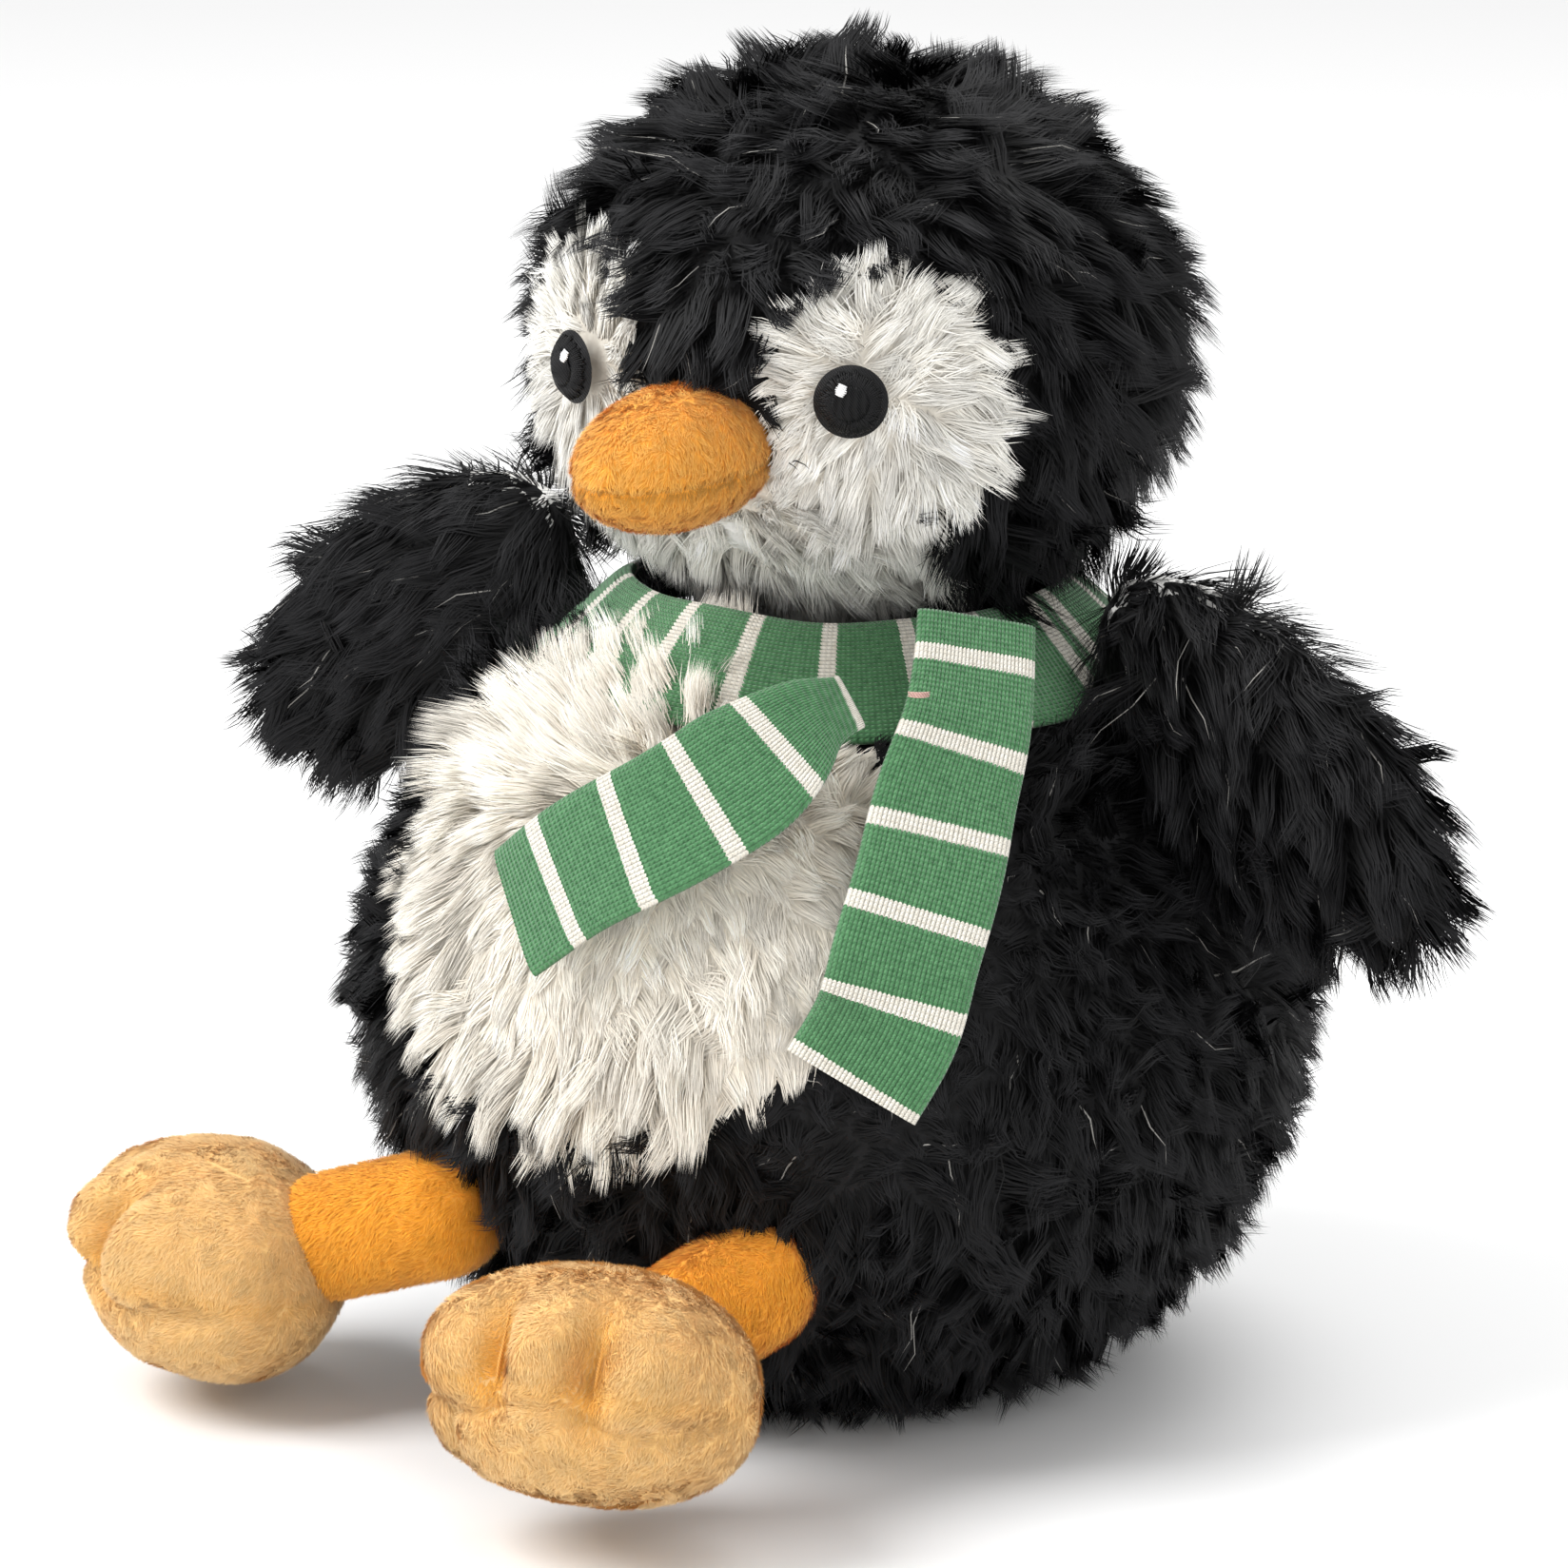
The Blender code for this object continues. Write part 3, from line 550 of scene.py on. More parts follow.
def part_of_mesh(points, faces, chosen):
    """The chosen faces with only the points that they use."""
    faces = [face for face, keep in zip(faces, chosen) if keep]
    used = sorted({i for face in faces for i in face})
    number = {old: new for new, old in enumerate(used)}
    return points[used], [tuple(number[i] for i in face) for face in faces]


def centres_of(points, faces):
    return np.array([points[list(face)].mean(0) for face in faces])


def plant(name, points, faces, density, look, comb, seed, surface, keep=None, **changes):
    """Pile on a surface: density is strands per square millimetre, comb a function of roots and normals."""
    look = {**look, **changes}
    per_area = density * 1e6 * FUR_SHARE
    look["per_area"] = per_area
    roots, normals = scatter(points, faces, per_area, seed)
    if keep is not None:
        chosen = keep(roots)
        roots, normals = roots[chosen], normals[chosen]
    return grow(name, roots, normals, comb(roots, normals), look, seed + 1, surface)


def swirled(direction, points, scale, amount, seed):
    """A comb direction with slow turns in it."""
    turn = np.stack([ripple(points, scale, seed + k) for k in range(3)], -1)
    return direction + amount * turn


# ---- the scarf's way round the neck and down the front ----
TAILS = {
    "left": [
        (55, 0.0640, 0.1575), (51, 0.0735, 0.1420), (47, 0.0790, 0.1290), (44, 0.0845, 0.1165),
        (41, 0.0885, 0.1040), (38.5, 0.0915, 0.0915), (34.5, 0.0940, 0.0805),
    ],
    "right": [
        (34.5, 0.0705, 0.1450), (28.5, 0.0735, 0.1420), (21, 0.0800, 0.1345), (12, 0.0855, 0.1255), (2, 0.0890, 0.1160),
        (-6, 0.0925, 0.1060),
    ],
}


def on_ring(angle, radius, height):
    turn = np.radians(angle)
    return np.stack((radius * np.sin(turn), -radius * np.cos(turn), height), -1)


def smooth_path(points, steps):
    points = np.array(points)
    return curve_through([2 * points[0] - points[1], *points, 2 * points[-1] - points[-2]], steps)


# ---- body ----
SCARF_SHOWS = (8, 62)  # degrees from -Y towards +X between which the neck band is seen
SCARF_LOW = 0.134  # and its height there
SCARF_REACH = 0.0585  # how far from the neck's middle the band covers the body
SCARF_BACK_LOW = 0.128
PILE_OVER_SCARF = (-25, 35)  # the pile half covers the band within this turn: its middle and half width


def on_belly(points):
    across, up = points[:, 0] / BELLY_HALF[0], (points[:, 2] - BELLY_CENTRE_Z) / BELLY_HALF[1]
    return (across ** 2 + up ** 2 < 1) & (points[:, 1] < BODY_Y - 0.01)


def build_body(black, cream):
    points, faces = body_skin()
    belly = on_belly(centres_of(points, faces))
    dark = cloth_material("black_backing", *SKIN_BLACK)
    pale = cloth_material("cream_backing", *SKIN_PALE)
    skin = mesh_object("body_skin", *part_of_mesh(points, faces, ~belly), dark)
    patch = mesh_object("belly_skin", *part_of_mesh(points, faces, belly), pale)
    settle(skin, body="torso", padding=0.9, slot="black_pile",
           stands_for=("body_front", "body_back_left", "body_back_right", "seat_gusset"))
    settle(patch, body="torso", padding=0.9, slot="cream_pile", stands_for=("belly_panel",))

    def body_comb(roots, normals):
        rise = smooth_step(roots[:, 2], 0.110, 0.126)[:, None]
        return swirled(UP * (1.9 * rise - 1) + 0.35 * normals, roots, 0.022, 0.75, 11)

    def belly_comb(roots, normals):
        away = roots - np.array((0.0, roots[:, 1].mean(), BELLY_CENTRE_Z + 0.030))
        rise = smooth_step(roots[:, 2], 0.114, 0.130)[:, None]
        return swirled(unit(away) * 1.2 + UP * (1.3 * rise - 0.5), roots, 0.016, 0.40, 21)

    def under_scarf(roots):
        """Where the band and the tails' tops lie on the body, so that no pile grows through them."""
        turn = np.degrees(np.arctan2(roots[:, 0], -roots[:, 1]))
        shown = (turn > SCARF_SHOWS[0]) & (turn < SCARF_SHOWS[1]) & (roots[:, 2] > SCARF_LOW)
        beyond = np.abs(turn - PILE_OVER_SCARF[0]) > PILE_OVER_SCARF[1]
        covered = (np.hypot(roots[:, 0], roots[:, 1]) < SCARF_REACH) & beyond
        return shown | (covered & (roots[:, 2] > SCARF_BACK_LOW))

    tails = np.vstack([on_ring(*smooth_path(path, 40).T) for path in TAILS.values()])

    def beside_tails(roots):
        """0 below a scarf tail, rising to 1 beside it."""
        gap = np.full(len(roots), np.inf)
        for point in tails:
            gap = np.minimum(gap, ((roots - point) ** 2).sum(1))
        return smooth_step(np.sqrt(gap), 0.022, 0.029)

    def pile_length(roots):
        return (0.50 + 0.50 * beside_tails(roots)) * (1 + 0.45 * smooth_step(roots[:, 2], 0.112, 0.126))

    def pile_lean(roots):
        """Flatter below the tails, and standing up round the neck so that it half covers the band."""
        return 0.22 * (1 - beside_tails(roots)) - 0.42 * smooth_step(roots[:, 2], 0.112, 0.126)

    def body_pile(roots):
        return ~on_belly(roots) & (roots[:, 2] > 0.0012) & ~under_scarf(roots)

    def belly_pile(roots):
        return on_belly(roots) & ~under_scarf(roots)

    coat = plant("body_coat", points, faces, 1.9, LONG_PILE, body_comb, 31, black, body_pile,
                 **BLACK_LOOK, length=9.5 * MM, lean=0.48, curl=0.15, turns=7.5, lock=3.8 * MM, swirl=0.9,
                 width=0.34 * MM, stray=0.003,
                 length_at=pile_length, lean_at=pile_lean)
    front = plant("belly_coat", points, faces, 5.5, LONG_PILE, belly_comb, 41, cream, belly_pile,
                  **CREAM_LOOK, length=9.5 * MM, lean=0.66, curl=0.07, turns=5.0, lock=3.6 * MM, swirl=0.50,
                  width=0.25 * MM, gather=0.5, length_at=pile_length, lean_at=pile_lean)
    settle(coat, body="torso", slot="black_pile")
    settle(front, body="torso", slot="cream_pile")


# ---- head ----
CHIN_EXTRA = 0.45  # how much longer the pile hangs at the bottom of the head


def eye_place(side):
    """Middle of an eye on the head's outer face, and its sideways, upward and outward directions."""
    down = HEAD_FRAME @ np.array((side * math.sin(EYE_ANGLE), -math.cos(EYE_ANGLE), 0.0))
    height = EYE_RISE / HEAD_RADII[2]
    centre = HEAD_CENTRE + down * HEAD_RADII[0] * math.sqrt(1 - height ** 2) + UP * EYE_RISE
    return centre, np.cross(down, UP), UP, down


def build_head(black, white):
    points, faces = head_points()
    face = in_face(centres_of(points, faces))
    skin = mesh_object("head_skin", *part_of_mesh(points, faces, ~face),
                       cloth_material("head_backing", *SKIN_BLACK))
    front = mesh_object("face_skin", *part_of_mesh(points, faces, face),
                        cloth_material("face_backing", *SKIN_PALE))
    settle(skin, body="head", padding=0.9, slot="black_pile",
           stands_for=("head_side_left", "head_side_right", "head_crown", "head_nape"))
    settle(front, body="head", padding=0.9, slot="white_pile", stands_for=("face_left", "face_right"))

    lobes = [HEAD_CENTRE + HEAD_FRAME @ np.array(centre) for centre, _ in FACE_BALLS]
    beak = HEAD_CENTRE + HEAD_FRAME @ BEAK_CENTRE

    def head_comb(roots, normals):
        local = (roots - HEAD_CENTRE) @ HEAD_FRAME
        back = HEAD_FRAME @ np.array((0.0, 1.0, 0.0))
        fall = -UP * (0.9 + 0.3 * (local[:, 1] > 0))[:, None] + back * 0.25
        return swirled(fall + 0.5 * normals * (1, 1, 0), roots, 0.030, 0.70, 51)

    def face_comb(roots, normals):
        distance = np.stack([np.linalg.norm(roots - lobe, axis=1) for lobe in lobes])
        nearest = np.array(lobes)[distance.argmin(0)]
        away = unit(roots - nearest)
        chin = smooth_step(-(roots[:, 2] - HEAD_CENTRE[2]), 0.012, 0.030)[:, None]
        return swirled(away * (1.1 - 0.5 * chin) - UP * (0.25 + chin), roots, 0.014, 0.30, 61)

    def coat_length(roots):
        local = (roots - HEAD_CENTRE) @ HEAD_FRAME
        brow = (local[:, 2] > -0.012) & (local[:, 1] < -0.01)
        short = np.where(brow, 0.42 + 0.58 * smooth_step(face_measure(roots), 1.0, 1.45), 1.0)
        return short * (1 + CHIN_EXTRA * smooth_step(-local[:, 2], 0.022, 0.040))

    def face_length(roots):
        eyes = [np.linalg.norm(roots - eye_place(side)[0], axis=1) for side in (-1, 1)]
        near_eye = smooth_step(np.min(eyes, axis=0), 0.007, 0.017)
        near_beak = smooth_step(np.linalg.norm((roots - beak) * (1, 1, 1.2), axis=1), 0.022, 0.034)
        chin = smooth_step(HEAD_CENTRE[2] - roots[:, 2], 0.026, 0.042)
        return (0.45 + 0.55 * np.minimum(near_eye, near_beak)) * (1 + CHIN_EXTRA * chin)

    def bare_spots(roots):
        """Not under the eyes or the beak."""
        free = np.ones(len(roots), bool)
        for side in (-1, 1):
            centre, _, _, out = eye_place(side)
            gap = roots - centre
            behind = gap @ out < -0.02
            gap = gap - out * (gap @ out)[:, None]
            free &= (np.linalg.norm(gap, axis=1) > EYE_RADIUS * 0.93) | behind
        local = (roots - beak) @ HEAD_FRAME / (BEAK_RADII * 0.86)
        return free & (((local[:, [0, 2]] ** 2).sum(1) > 1) | (local[:, 1] > 1))

    coat = plant("head_coat", points, faces, 2.1, LONG_PILE, head_comb, 71, black,
                 lambda roots: ~in_face(roots) & bare_spots(roots), **BLACK_LOOK,
                 length=11.5 * MM, lean=0.56, curl=0.11, turns=6.0, lock=4.4 * MM, swirl=0.65,
                 width=0.36 * MM, stray=0.004, length_at=coat_length)
    face_coat = plant("face_coat", points, faces, 6.0, LONG_PILE, face_comb, 81, white,
                      lambda roots: in_face(roots) & bare_spots(roots), **WHITE_LOOK,
                      length=7.5 * MM, lean=0.70, curl=0.06, turns=4.0, lock=2.8 * MM, swirl=0.40,
                      width=0.25 * MM, gather=0.5, length_at=face_length)
    settle(coat, body="head", slot="black_pile")
    settle(face_coat, body="head", slot="white_pile")


# ---- threads ----
def tube(path, radius, sides=6, taper=0.0):
    """Points and faces of a thread along a path; taper narrows its ends."""
    path = np.asarray(path, float)
    along = unit(np.gradient(path, axis=0))
    aside = np.cross(along, UP)
    aside = unit(np.where(np.linalg.norm(aside, axis=1, keepdims=True) > 0.15, aside, np.cross(along, (1, 0, 0))))
    over = np.cross(aside, along)
    t = np.linspace(0, 1, len(path))
    size = radius * (1 - taper * np.abs(2 * t - 1) ** 3)
    turn = np.linspace(0, 2 * math.pi, sides, endpoint=False)
    ring = aside[:, None] * np.cos(turn)[None, :, None] + over[:, None] * np.sin(turn)[None, :, None]
    points = (path[:, None] + ring * size[:, None, None]).reshape(-1, 3)
    faces = grid_faces(len(path), sides, True)
    faces.append(tuple(range(sides))[::-1])
    faces.append(tuple(range(len(points) - sides, len(points))))
    return points, faces


def joined(parts):
    points, faces, base = [], [], 0
    for some, cells in parts:
        points.append(some)
        faces += [tuple(i + base for i in cell) for cell in cells]
        base += len(some)
    return np.vstack(points), faces


def thread_material(name, dark, light, roughness=0.42, sheen=0.25, specular=0.5):
    """Twisted embroidery yarn: a fine slanting ply and a silky sheen."""
    made, tree, shader = new_material(name, roughness, sheen, specular)
    place = node(tree, "ShaderNodeTexCoord")
    wave = node(tree, "ShaderNodeTexWave", Scale=900.0, Distortion=2.0, bands_direction="DIAGONAL")
    tree.links.new(place.outputs["Object"], wave.inputs["Vector"])
    tree.links.new(ramp(tree, wave.outputs["Fac"], [(0.2, dark), (0.8, light)]), shader.inputs["Base Color"])
    add_bump(tree, shader, wave.outputs["Fac"], 0.06 * MM)
    return made


EYE_SPOKES = 84
SATIN_INNER, SATIN_OUTER = 0.42, 0.94  # of the eye's radius
EYE_DOME = 1.7 * MM
THREAD = 0.24 * MM


def build_eye(side, name, dark, light):
    centre, across, up, out = eye_place(side)
    rng = np.random.default_rng(91)

    def on_eye(x, y, lift=0.0):
        r = np.hypot(x, y) / EYE_RADIUS
        depth = lift + EYE_DOME * (0.55 - r ** 2.6)
        return centre + np.multiply.outer(x, across) + np.multiply.outer(y, up) + np.multiply.outer(depth, out)

    def row_stitch(offset, half, slant, steps, middle, lift, bulge, size):
        """One stitch of a filled patch, in the row at offset from the patch's middle."""
        run = np.linspace(-half, half, steps)
        x = middle[0] + run * math.cos(slant) - offset * math.sin(slant)
        y = middle[1] + run * math.sin(slant) + offset * math.cos(slant)
        return tube(on_eye(x, y, lift + bulge * np.cos(run / half * 1.5)), size, taper=0.4)

    parts = []
    for k in range(EYE_SPOKES):
        angle = 2 * math.pi * (k + rng.uniform(-0.2, 0.2)) / EYE_SPOKES
        reach = np.linspace(SATIN_INNER, SATIN_OUTER * rng.uniform(0.95, 1.07), 9) * EYE_RADIUS
        bow = 0.35 * MM * np.sin(np.linspace(0, math.pi, 9))
        parts.append(tube(on_eye(reach * math.cos(angle), reach * math.sin(angle), bow), THREAD * 0.95, taper=0.3))
    for k in range(19):
        offset = (k - 9) * 0.52 * EYE_RADIUS / 9.5
        half = math.sqrt(max((0.56 * EYE_RADIUS) ** 2 - offset ** 2, 0)) * rng.uniform(0.93, 1.06)
        parts.append(row_stitch(offset, half, math.radians(62), 10, (0, 0), 0.42 * MM, 0.2 * MM, THREAD * 0.9))
    rings = np.linspace(0.02, 1.12, 14) * EYE_RADIUS
    turn = np.linspace(0, 2 * math.pi, 48, endpoint=False)
    grid_x, grid_y = np.outer(rings, np.cos(turn)), np.outer(rings, np.sin(turn))
    base = on_eye(grid_x.reshape(-1), grid_y.reshape(-1), -0.10 * MM)
    parts.append((base, [face[::-1] for face in grid_faces(len(rings), len(turn), True)]))
    eye = mesh_object(f"eye_embroidery_{name}", *joined(parts), dark)

    parts = []
    glint_middle = (side * 0.28 * EYE_RADIUS, 0.44 * EYE_RADIUS)
    for k in range(6):
        offset = (k - 2.5) * 0.36 * MM
        half = (1.05 - 0.10 * abs(k - 2.5)) * MM * rng.uniform(0.9, 1.1)
        parts.append(row_stitch(offset, half, math.radians(20), 8, glint_middle, 0.75 * MM, 0.18 * MM, THREAD * 0.85))
    glint = mesh_object(f"eye_glint_stitches_{name}", *joined(parts), light)
    settle(eye, body="head", slot="eye_thread", stands_for=(f"eye_{name}",))
    settle(glint, body="head", slot="glint_thread", stands_for=(f"eye_glint_{name}",))


def build_beak(orange):
    local, faces = beak_local()
    points = (local + BEAK_CENTRE) @ HEAD_FRAME.T + HEAD_CENTRE
    skin = mesh_object("beak_skin", points, faces, cloth_material("beak_backing", *SKIN_ORANGE))
    settle(skin, body="head", padding=0.95, slot="beak_pile", stands_for=("beak_upper", "beak_lower"))
    tip = HEAD_FRAME @ np.array((0.0, -1.0, 0.0))

    def beak_comb(roots, normals):
        return swirled(tip * 0.4 - UP * 0.7, roots, 0.010, 0.25, 95)

    def beak_tint(roots):
        height = (roots - HEAD_CENTRE - HEAD_FRAME @ BEAK_CENTRE)[:, 2]
        # painted shade: the bottom half of the beak darker and more orange, and a dark line along the mouth crease
        lower_half_shade = smooth_step(-height, -0.001, 0.006)[:, None]
        mouth = bell(height + 0.0012, 0.0011)[:, None]
        return (1 - 0.16 * lower_half_shade * np.array((0.7, 1.0, 1.4))) * (1 - 0.35 * mouth)

    coat = plant("beak_coat", points, faces, 9.0, SHORT_PILE, beak_comb, 97, orange, None, **BEAK_LOOK,
                 length=2.1 * MM, width=0.17 * MM, tint=beak_tint)
    settle(coat, body="head", slot="beak_pile")


# ---- limbs ----
def build_wing(side, name, black):
    points, faces = wing_points(side)
    skin = mesh_object(f"wing_skin_{name}", points, faces, cloth_material(f"wing_backing_{name}", *SKIN_BLACK))
    settle(skin, body=f"wing_{name}", padding=0.6, slot="black_pile",
           stands_for=(f"wing_{name}_front", f"wing_{name}_back"))
    along = np.array((side * math.cos(WING_DROOP), 0, -math.sin(WING_DROOP)))

    def wing_comb(roots, normals):
        return swirled(along - UP * 0.45, roots, 0.025, 0.55, 101)

    coat = plant(f"wing_coat_{name}", points, faces, 2.6, LONG_PILE, wing_comb, 103 + side, black, None,
                 **BLACK_LOOK, length=12 * MM, lean=0.60, curl=0.10, turns=5.5, lock=4.4 * MM, swirl=0.55,
                 width=0.36 * MM, stray=0.004)
    settle(coat, body=f"wing_{name}", slot="black_pile")


def build_leg(name, orange):
    points, faces = leg_points(name)
    skin = mesh_object(f"leg_skin_{name}", points, faces, cloth_material(f"leg_backing_{name}", *SKIN_ORANGE))
    settle(skin, body=f"leg_{name}", padding=0.7, slot="leg_pile", stands_for=(f"leg_{name}_sleeve",))
    hip = np.array(JOINTS[f"leg_{name}_swing"]["pos_m"])
    reach = unit(np.array(JOINTS[f"foot_{name}_tilt"]["pos_m"]) - hip)

    def leg_comb(roots, normals):
        return swirled(reach * 0.8 - UP * 0.5, roots, 0.012, 0.4, 111)

    coat = plant(f"leg_coat_{name}", points, faces, 7.0, SHORT_PILE, leg_comb, 113, orange, None, **LEG_LOOK,
                 length=2.2 * MM, width=0.20 * MM)
    settle(coat, body=f"leg_{name}", slot="leg_pile")


def build_foot(name, gold, thread):
    local, faces = foot_points()
    turn, centre = foot_matrix(name)
    points = local @ turn.T + centre
    skin = mesh_object(f"foot_skin_{name}", points, faces, cloth_material(f"foot_backing_{name}", *SKIN_FOOT))
    settle(skin, body=f"foot_{name}", padding=0.8, slot="foot_pile",
           stands_for=(f"foot_{name}_top", f"foot_{name}_sole", f"foot_{name}_stuffing"))
    toes = turn @ np.array((0.0, 1.0, 0.0))

    def foot_comb(roots, normals):
        return swirled(toes * 0.5 - UP * 0.6, roots, 0.014, 0.45, 121)

    def foot_tint(roots):
        x, y, z = ((roots - centre) @ turn).T
        groove = sum(bell(x - s * TOE_SPACING / 2, 0.0040) for s in (-1, 1)) * smooth_step(y, 0.004, 0.016)
        groove = groove * bell(z - 0.004, 0.011)
        rim_shade = bell(np.abs(z), 0.0022) * smooth_step(np.hypot(x, y), 0.018, 0.026)
        # painted shade: darker, more saturated orange in the toe grooves and along the seam round the foot's rim
        recess_shade = np.clip(groove + 0.35 * rim_shade, 0, 1)[:, None]
        return 1 + recess_shade * (np.array((1.06, 0.86, 0.42)) - 1)

    coat = plant(f"foot_coat_{name}", points, faces, 9.5, SHORT_PILE, foot_comb, 123, gold, None, **FOOT_LOOK,
                 length=2.0 * MM, width=0.17 * MM, tint=foot_tint, lock=2.2 * MM)
    settle(coat, body=f"foot_{name}", slot="foot_pile")

    for side, place in ((-1, "inner"), (1, "outer")):
        side = side if name == "left" else -side
        near = np.abs(local[:, 0] - side * TOE_SPACING / 2) < 1.2 * MM
        strip = local[near & (local[:, 1] > 0)]
        angles = np.arctan2(strip[:, 2], strip[:, 1])
        wanted = np.radians(np.linspace(42, -6, 16))
        rail = np.array([strip[np.abs(angles - angle).argmin()] for angle in wanted])
        rail[:, 0] = side * TOE_SPACING / 2
        for _ in range(3):
            rail[1:-1] = (rail[:-2] + rail[1:-1] * 2 + rail[2:]) / 4
        stitch = mesh_object(f"toe_thread_{name}_{place}", *tube(rail @ turn.T + centre, 0.35 * MM, 8, 0.3), thread)
        settle(stitch, body=f"foot_{name}", slot="foot_thread", stands_for=(f"toe_stitch_{name}_{place}",))


# ---- scarf ----
SCARF_WIDTH, SCARF_THICK = 26.5 * MM, 3.0 * MM
RIBS = 32
RIB_PITCH = 1 * MM  # of a rib in the knit's own layout, where the tube is RIBS of them wide
STITCH_PITCH, STITCH_SLANT, STRIPE_RAGGED = 0.95 * MM, 0.35 * MM, 0.5 * MM
STRIPE_EVERY, STRIPE_WIDE = 16 * MM, 3.2 * MM
BAND_TOP, BAND_SLOPE = (0.0385, 0.1515), math.radians(43)


def knit_material():
    """Rib knit: raised columns of stitches and cream rows at even steps along the scarf."""
    made, tree, shader = new_material("scarf_knit", 0.85, 0.35, 0.2)
    place = node(tree, "ShaderNodeUVMap", uv_map="knit")
    split = node(tree, "ShaderNodeSeparateXYZ")
    tree.links.new(place.outputs["UV"], split.inputs[0])

    def sum_of(operation, first, second):
        made = node(tree, "ShaderNodeMath", operation=operation)
        for socket, value in zip(made.inputs, (first, second)):
            if isinstance(value, (int, float)):
                socket.default_value = value
            else:
                tree.links.new(value, socket)
        return made.outputs[0]

    ribs = sum_of("ABSOLUTE", sum_of("SINE", sum_of("MULTIPLY", split.outputs["X"], math.pi / RIB_PITCH), 0.0), 0.0)
    slant = sum_of("ADD", split.outputs["Y"], sum_of("MULTIPLY", ribs, STITCH_SLANT))
    stitch = sum_of("SINE", sum_of("MULTIPLY", slant, 2 * math.pi / STITCH_PITCH), 0.0)
    spread = noise(tree, 700.0)
    ragged = sum_of("ADD", slant, sum_of("MULTIPLY", spread.outputs["Fac"], STRIPE_RAGGED))
    step = sum_of("MODULO", sum_of("ADD", ragged, STRIPE_EVERY), STRIPE_EVERY)
    stripe = sum_of("LESS_THAN", step, STRIPE_WIDE)
    mottle = noise(tree, 900.0)
    green = ramp(tree, mottle.outputs["Fac"], [(0.3, (0.050, 0.165, 0.064)), (0.7, (0.095, 0.262, 0.112))])
    cream = ramp(tree, mottle.outputs["Fac"], [(0.3, (0.66, 0.62, 0.53)), (0.7, (0.82, 0.79, 0.71))])
    colour = node(tree, "ShaderNodeMix", data_type="RGBA")
    tree.links.new(stripe, colour.inputs[0])
    tree.links.new(green, colour.inputs[6])
    tree.links.new(cream, colour.inputs[7])
    # painted shade: darker in the grooves between the rib columns
    shade = ramp(tree, ribs, [(0.0, (0.55, 0.55, 0.55)), (0.6, (1.0, 1.0, 1.0))])
    tree.links.new(blended(tree, "MULTIPLY", 1.0, colour.outputs[2], shade), shader.inputs["Base Color"])
    add_bump(tree, shader, stitch, 0.12 * MM)
    return made


def flat_tube(name, middle, wide, out, width, surface, offset, closed):
    """A flat knitted tube along a middle line; wide and out are unit directions at each point."""
    columns = RIBS * 4
    x = np.linspace(-1, 1, columns + 1)
    body = SCARF_THICK / 2 * np.sqrt(np.clip(1 - np.abs(x) ** 7, 0, 1))
    rib = 0.30 * MM * (np.abs(np.sin(np.linspace(0, math.pi * RIBS, columns + 1))) - 0.6) * (1 - x ** 8)
    across = np.concatenate((x, x[-2:0:-1]))
    height = np.concatenate((body + rib, -(body + rib)[-2:0:-1]))
    ribs = np.concatenate((np.arange(columns + 1), np.arange(columns - 1, 0, -1))) / 4
    rows, around = len(middle), len(across)
    half = np.asarray(width)[:, None, None] / 2
    points = middle[:, None] + wide[:, None] * (across[None, :, None] * half) + out[:, None] * height[None, :, None]
    travel = np.concatenate(([0], np.cumsum(np.linalg.norm(np.diff(middle, axis=0), axis=1))))
    points = points.reshape(-1, 3)
    faces = grid_faces(rows, around, True)
    if closed:
        last = (rows - 1) * around
        faces += [(last + c, last + (c + 1) % around, (c + 1) % around, c) for c in range(around)]
    else:
        faces += [tuple(range(around))[::-1], tuple(range((rows - 1) * around, rows * around))]
    obj = mesh_object(name, points, faces, surface)
    layer = obj.data.uv_layers.new(name="knit")
    index = np.empty(len(obj.data.loops), np.int32)
    obj.data.loops.foreach_get("vertex_index", index)
    flat = np.stack((ribs[index % around] * RIB_PITCH, offset + travel[index // around]), -1)
    layer.data.foreach_set("uv", flat.reshape(-1).astype(np.float32))
    return obj, travel[-1]


def build_band(knit):
    steps = 420
    turn = np.linspace(0, 2 * math.pi, steps, endpoint=False)
    ring = np.stack((np.cos(turn), np.sin(turn), np.zeros(steps)), -1)
    wave = 0.9 * MM * np.sin(3 * turn + 1) + 0.6 * MM * np.sin(7 * turn)
    down = ring * math.cos(BAND_SLOPE) - UP * math.sin(BAND_SLOPE)
    out = ring * math.sin(BAND_SLOPE) + UP * math.cos(BAND_SLOPE)
    middle = ring * BAND_TOP[0] + UP * BAND_TOP[1] + down * SCARF_WIDTH / 2 + out * (SCARF_THICK / 2 + wave[:, None])
    band, length = flat_tube("scarf_neck_band", middle, down, out, np.full(steps, SCARF_WIDTH * 0.98), knit,
                             -1.2 * MM, True)
    settle(band, body="torso", slot="scarf_knit", stands_for=("scarf_band",))


def build_tail(name, knit, offset, start_width):
    fine = smooth_path(TAILS[name], 240)
    middle = on_ring(*fine.T)
    along = unit(np.gradient(middle, axis=0))
    turn = np.radians(fine[:, 0])
    out = np.stack((np.sin(turn), -np.cos(turn), np.full(len(turn), 0.45)), -1)
    out = unit(out - along * (out * along).sum(1, keepdims=True))
    wide = np.cross(along, out)
    t = np.linspace(0, 1, len(middle))
    width = SCARF_WIDTH * (start_width + (1 - start_width) * smooth_step(t, 0.0, 0.45))
    middle = middle + out * (0.6 * MM * np.sin(t * 9 + 1))[:, None]
    tail, length = flat_tube(f"scarf_end_{name}", middle, wide, out, width, knit, offset, False)
    settle(tail, body=f"scarf_tail_{name}", slot="scarf_knit", stands_for=(f"scarf_tail_{name}",))


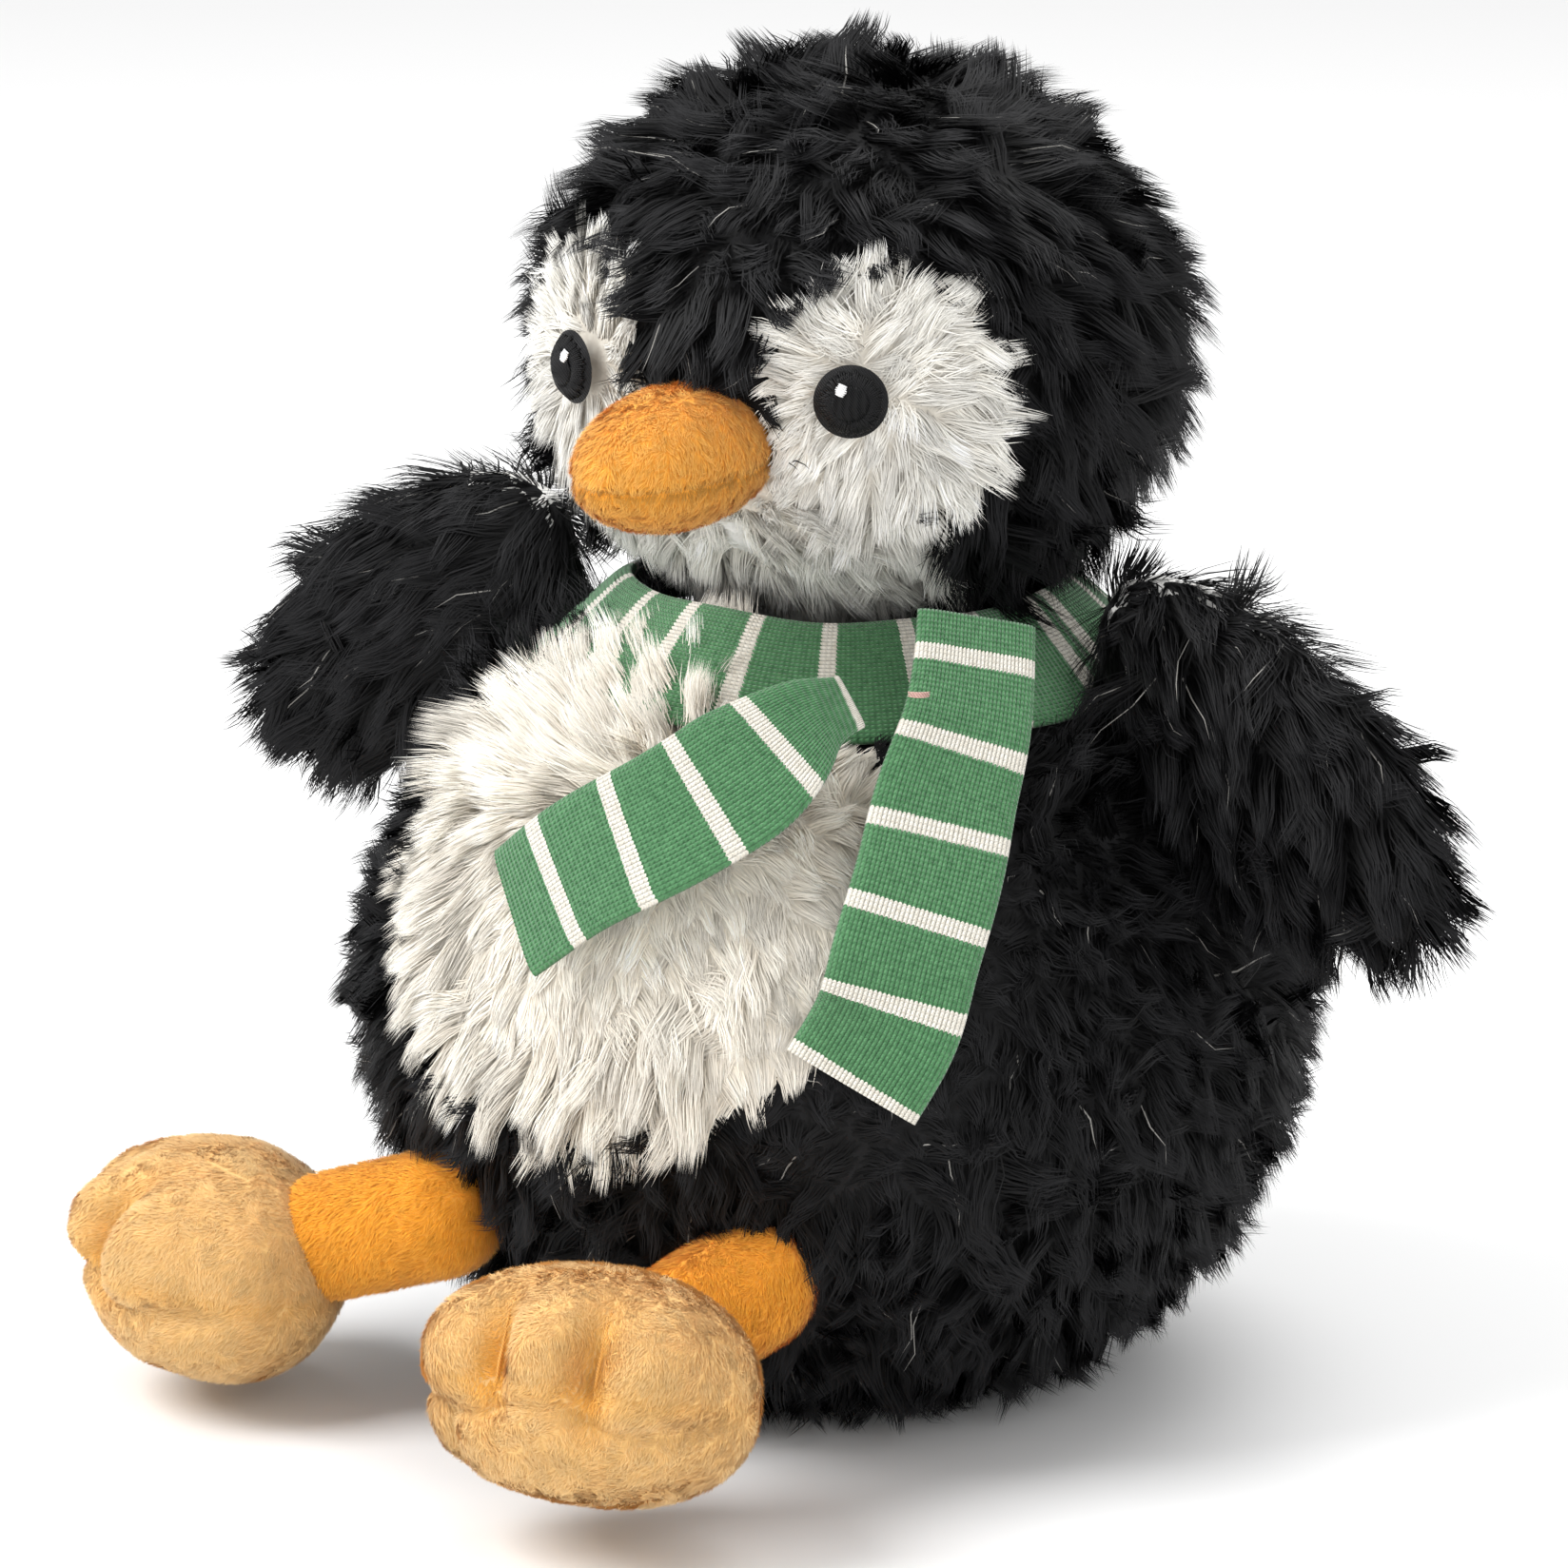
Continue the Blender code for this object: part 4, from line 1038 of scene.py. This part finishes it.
def build_tack(thread):
    angle, radius, height = TAILS["right"][0]
    knot = on_ring(angle + 9, radius + 0.0075, height + 0.003)
    turn = math.radians(angle)
    side = np.array((math.cos(turn), math.sin(turn), 0))
    t = np.linspace(-1, 1, 12)
    parts = []
    for k in (-1, 0, 1):
        path = knot + UP * k * 0.35 * MM + np.outer(t * 1.9 * MM, side)
        path = path - np.outer(0.8 * MM * t ** 2, unit(knot * (1, 1, 0)))
        parts.append(tube(path, 0.20 * MM, 6, 0.4))
    settle(mesh_object("scarf_tack_thread", *joined(parts), thread), body="torso", slot="tack_thread",
           stands_for=("scarf_tack_stitch",))


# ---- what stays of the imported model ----
def dress_inner_pieces():
    """Filling, pellet bag and neck core keep their shape and get the look of what they are."""
    filling = cloth_material("polyester_filling", (0.62, 0.61, 0.58), (0.88, 0.87, 0.85), 260.0, 0.95, 1.0 * MM)
    bag = cloth_material("pellet_bag_cloth", (0.34, 0.33, 0.30), (0.52, 0.50, 0.46), 900.0, 0.85, 0.2 * MM)
    for name, obj in frame["nodes"].items():
        if "stuffing" in name or name in ("neck_core", "pellet_bag"):
            obj.data.materials.clear()
            obj.data.materials.append(bag if name == "pellet_bag" else filling)


# ---- stage ----
def build_stage():
    floor = mesh_object("floor", [(-3, -3, 0), (3, -3, 0), (3, 3, 0), (-3, 3, 0)], [(0, 1, 2, 3)], None, False)
    made, _, shader = new_material("floor", 0.9)
    shader.inputs["Base Color"].default_value = (0.86, 0.86, 0.86, 1)
    floor.data.materials.append(made)
    world = bpy.data.worlds.new("studio")
    bpy.context.scene.world = world
    world.use_nodes = True
    world.node_tree.nodes["Background"].inputs["Color"].default_value = (1, 1, 1, 1)
    world.node_tree.nodes["Background"].inputs["Strength"].default_value = 0.70
    bpy.context.scene.view_settings.view_transform = "Standard"
    for name, place, size, power in (
        ("key", (-0.7, -0.9, 1.2), 0.9, 25.0),
        ("fill", (1.3, -0.9, 0.7), 1.2, 8.0),
        ("top", (0.1, 0.5, 1.4), 1.0, 12.0),
    ):
        lamp = bpy.data.lights.new(name, "AREA")
        lamp.energy, lamp.size = power, size
        obj = bpy.data.objects.new(name, lamp)
        bpy.context.scene.collection.objects.link(obj)
        obj.location = place
        obj.rotation_euler = (Vector((0, 0, 0.1)) - Vector(place)).to_track_quat("-Z", "Y").to_euler()


def build_camera():
    azimuth, elevation = CAMERA_AZIMUTH, CAMERA_ELEVATION
    back = Vector((math.sin(azimuth) * math.cos(elevation), -math.cos(azimuth) * math.cos(elevation),
                   math.sin(elevation)))
    lens = bpy.data.cameras.new("camera")
    lens.sensor_width = 36.0
    lens.lens = 36.0 * CAMERA_DISTANCE / FRAME_WIDTH
    lens.clip_start, lens.clip_end = 0.05, 20.0
    camera = bpy.data.objects.new("camera", lens)
    bpy.context.scene.collection.objects.link(camera)
    camera.location = CAMERA_TARGET + back * CAMERA_DISTANCE
    camera.rotation_euler = back.to_track_quat("Z", "Y").to_euler()
    bpy.context.scene.camera = camera


build_camera()
build_stage()
black_pile = pile_material("black_pile", 0.55, 0.0, 0.14)
white_pile = pile_material("white_pile", 0.75, 0.15, 0.25)
cream_pile = pile_material("cream_pile", 0.75, 0.15, 0.25)
beak_pile = pile_material("beak_pile", 0.85, 0.15, 0.15, 90.0, 0.94)
leg_pile = pile_material("leg_pile", 0.85, 0.15, 0.15, 90.0, 0.92)
foot_pile = pile_material("foot_pile", 0.85, 0.15, 0.15, 80.0, 0.92)
black_yarn = thread_material("black_yarn", (0.002, 0.002, 0.0022), (0.007, 0.007, 0.008), 0.5, 0.0, 0.2)
white_yarn = thread_material("white_yarn", (0.72, 0.72, 0.72), (0.9, 0.9, 0.9))
gold_yarn = thread_material("gold_yarn", (0.60, 0.27, 0.04), (0.78, 0.40, 0.08), 0.6)
pink_yarn = thread_material("pink_yarn", (0.42, 0.24, 0.20), (0.60, 0.38, 0.33), 0.7)
knit = knit_material()

dress_inner_pieces()
build_body(black_pile, cream_pile)
build_head(black_pile, white_pile)
build_beak(beak_pile)
for side, name in ((1, "left"), (-1, "right")):
    build_eye(side, name, black_yarn, white_yarn)
    build_wing(side, name, black_pile)
    build_leg(name, leg_pile)
    build_foot(name, foot_pile, gold_yarn)
build_band(knit)
build_tail("left", knit, 9.0 * MM, 0.85)
build_tail("right", knit, 1.5 * MM, 0.40)
build_tack(pink_yarn)

bpy.context.view_layer.update()
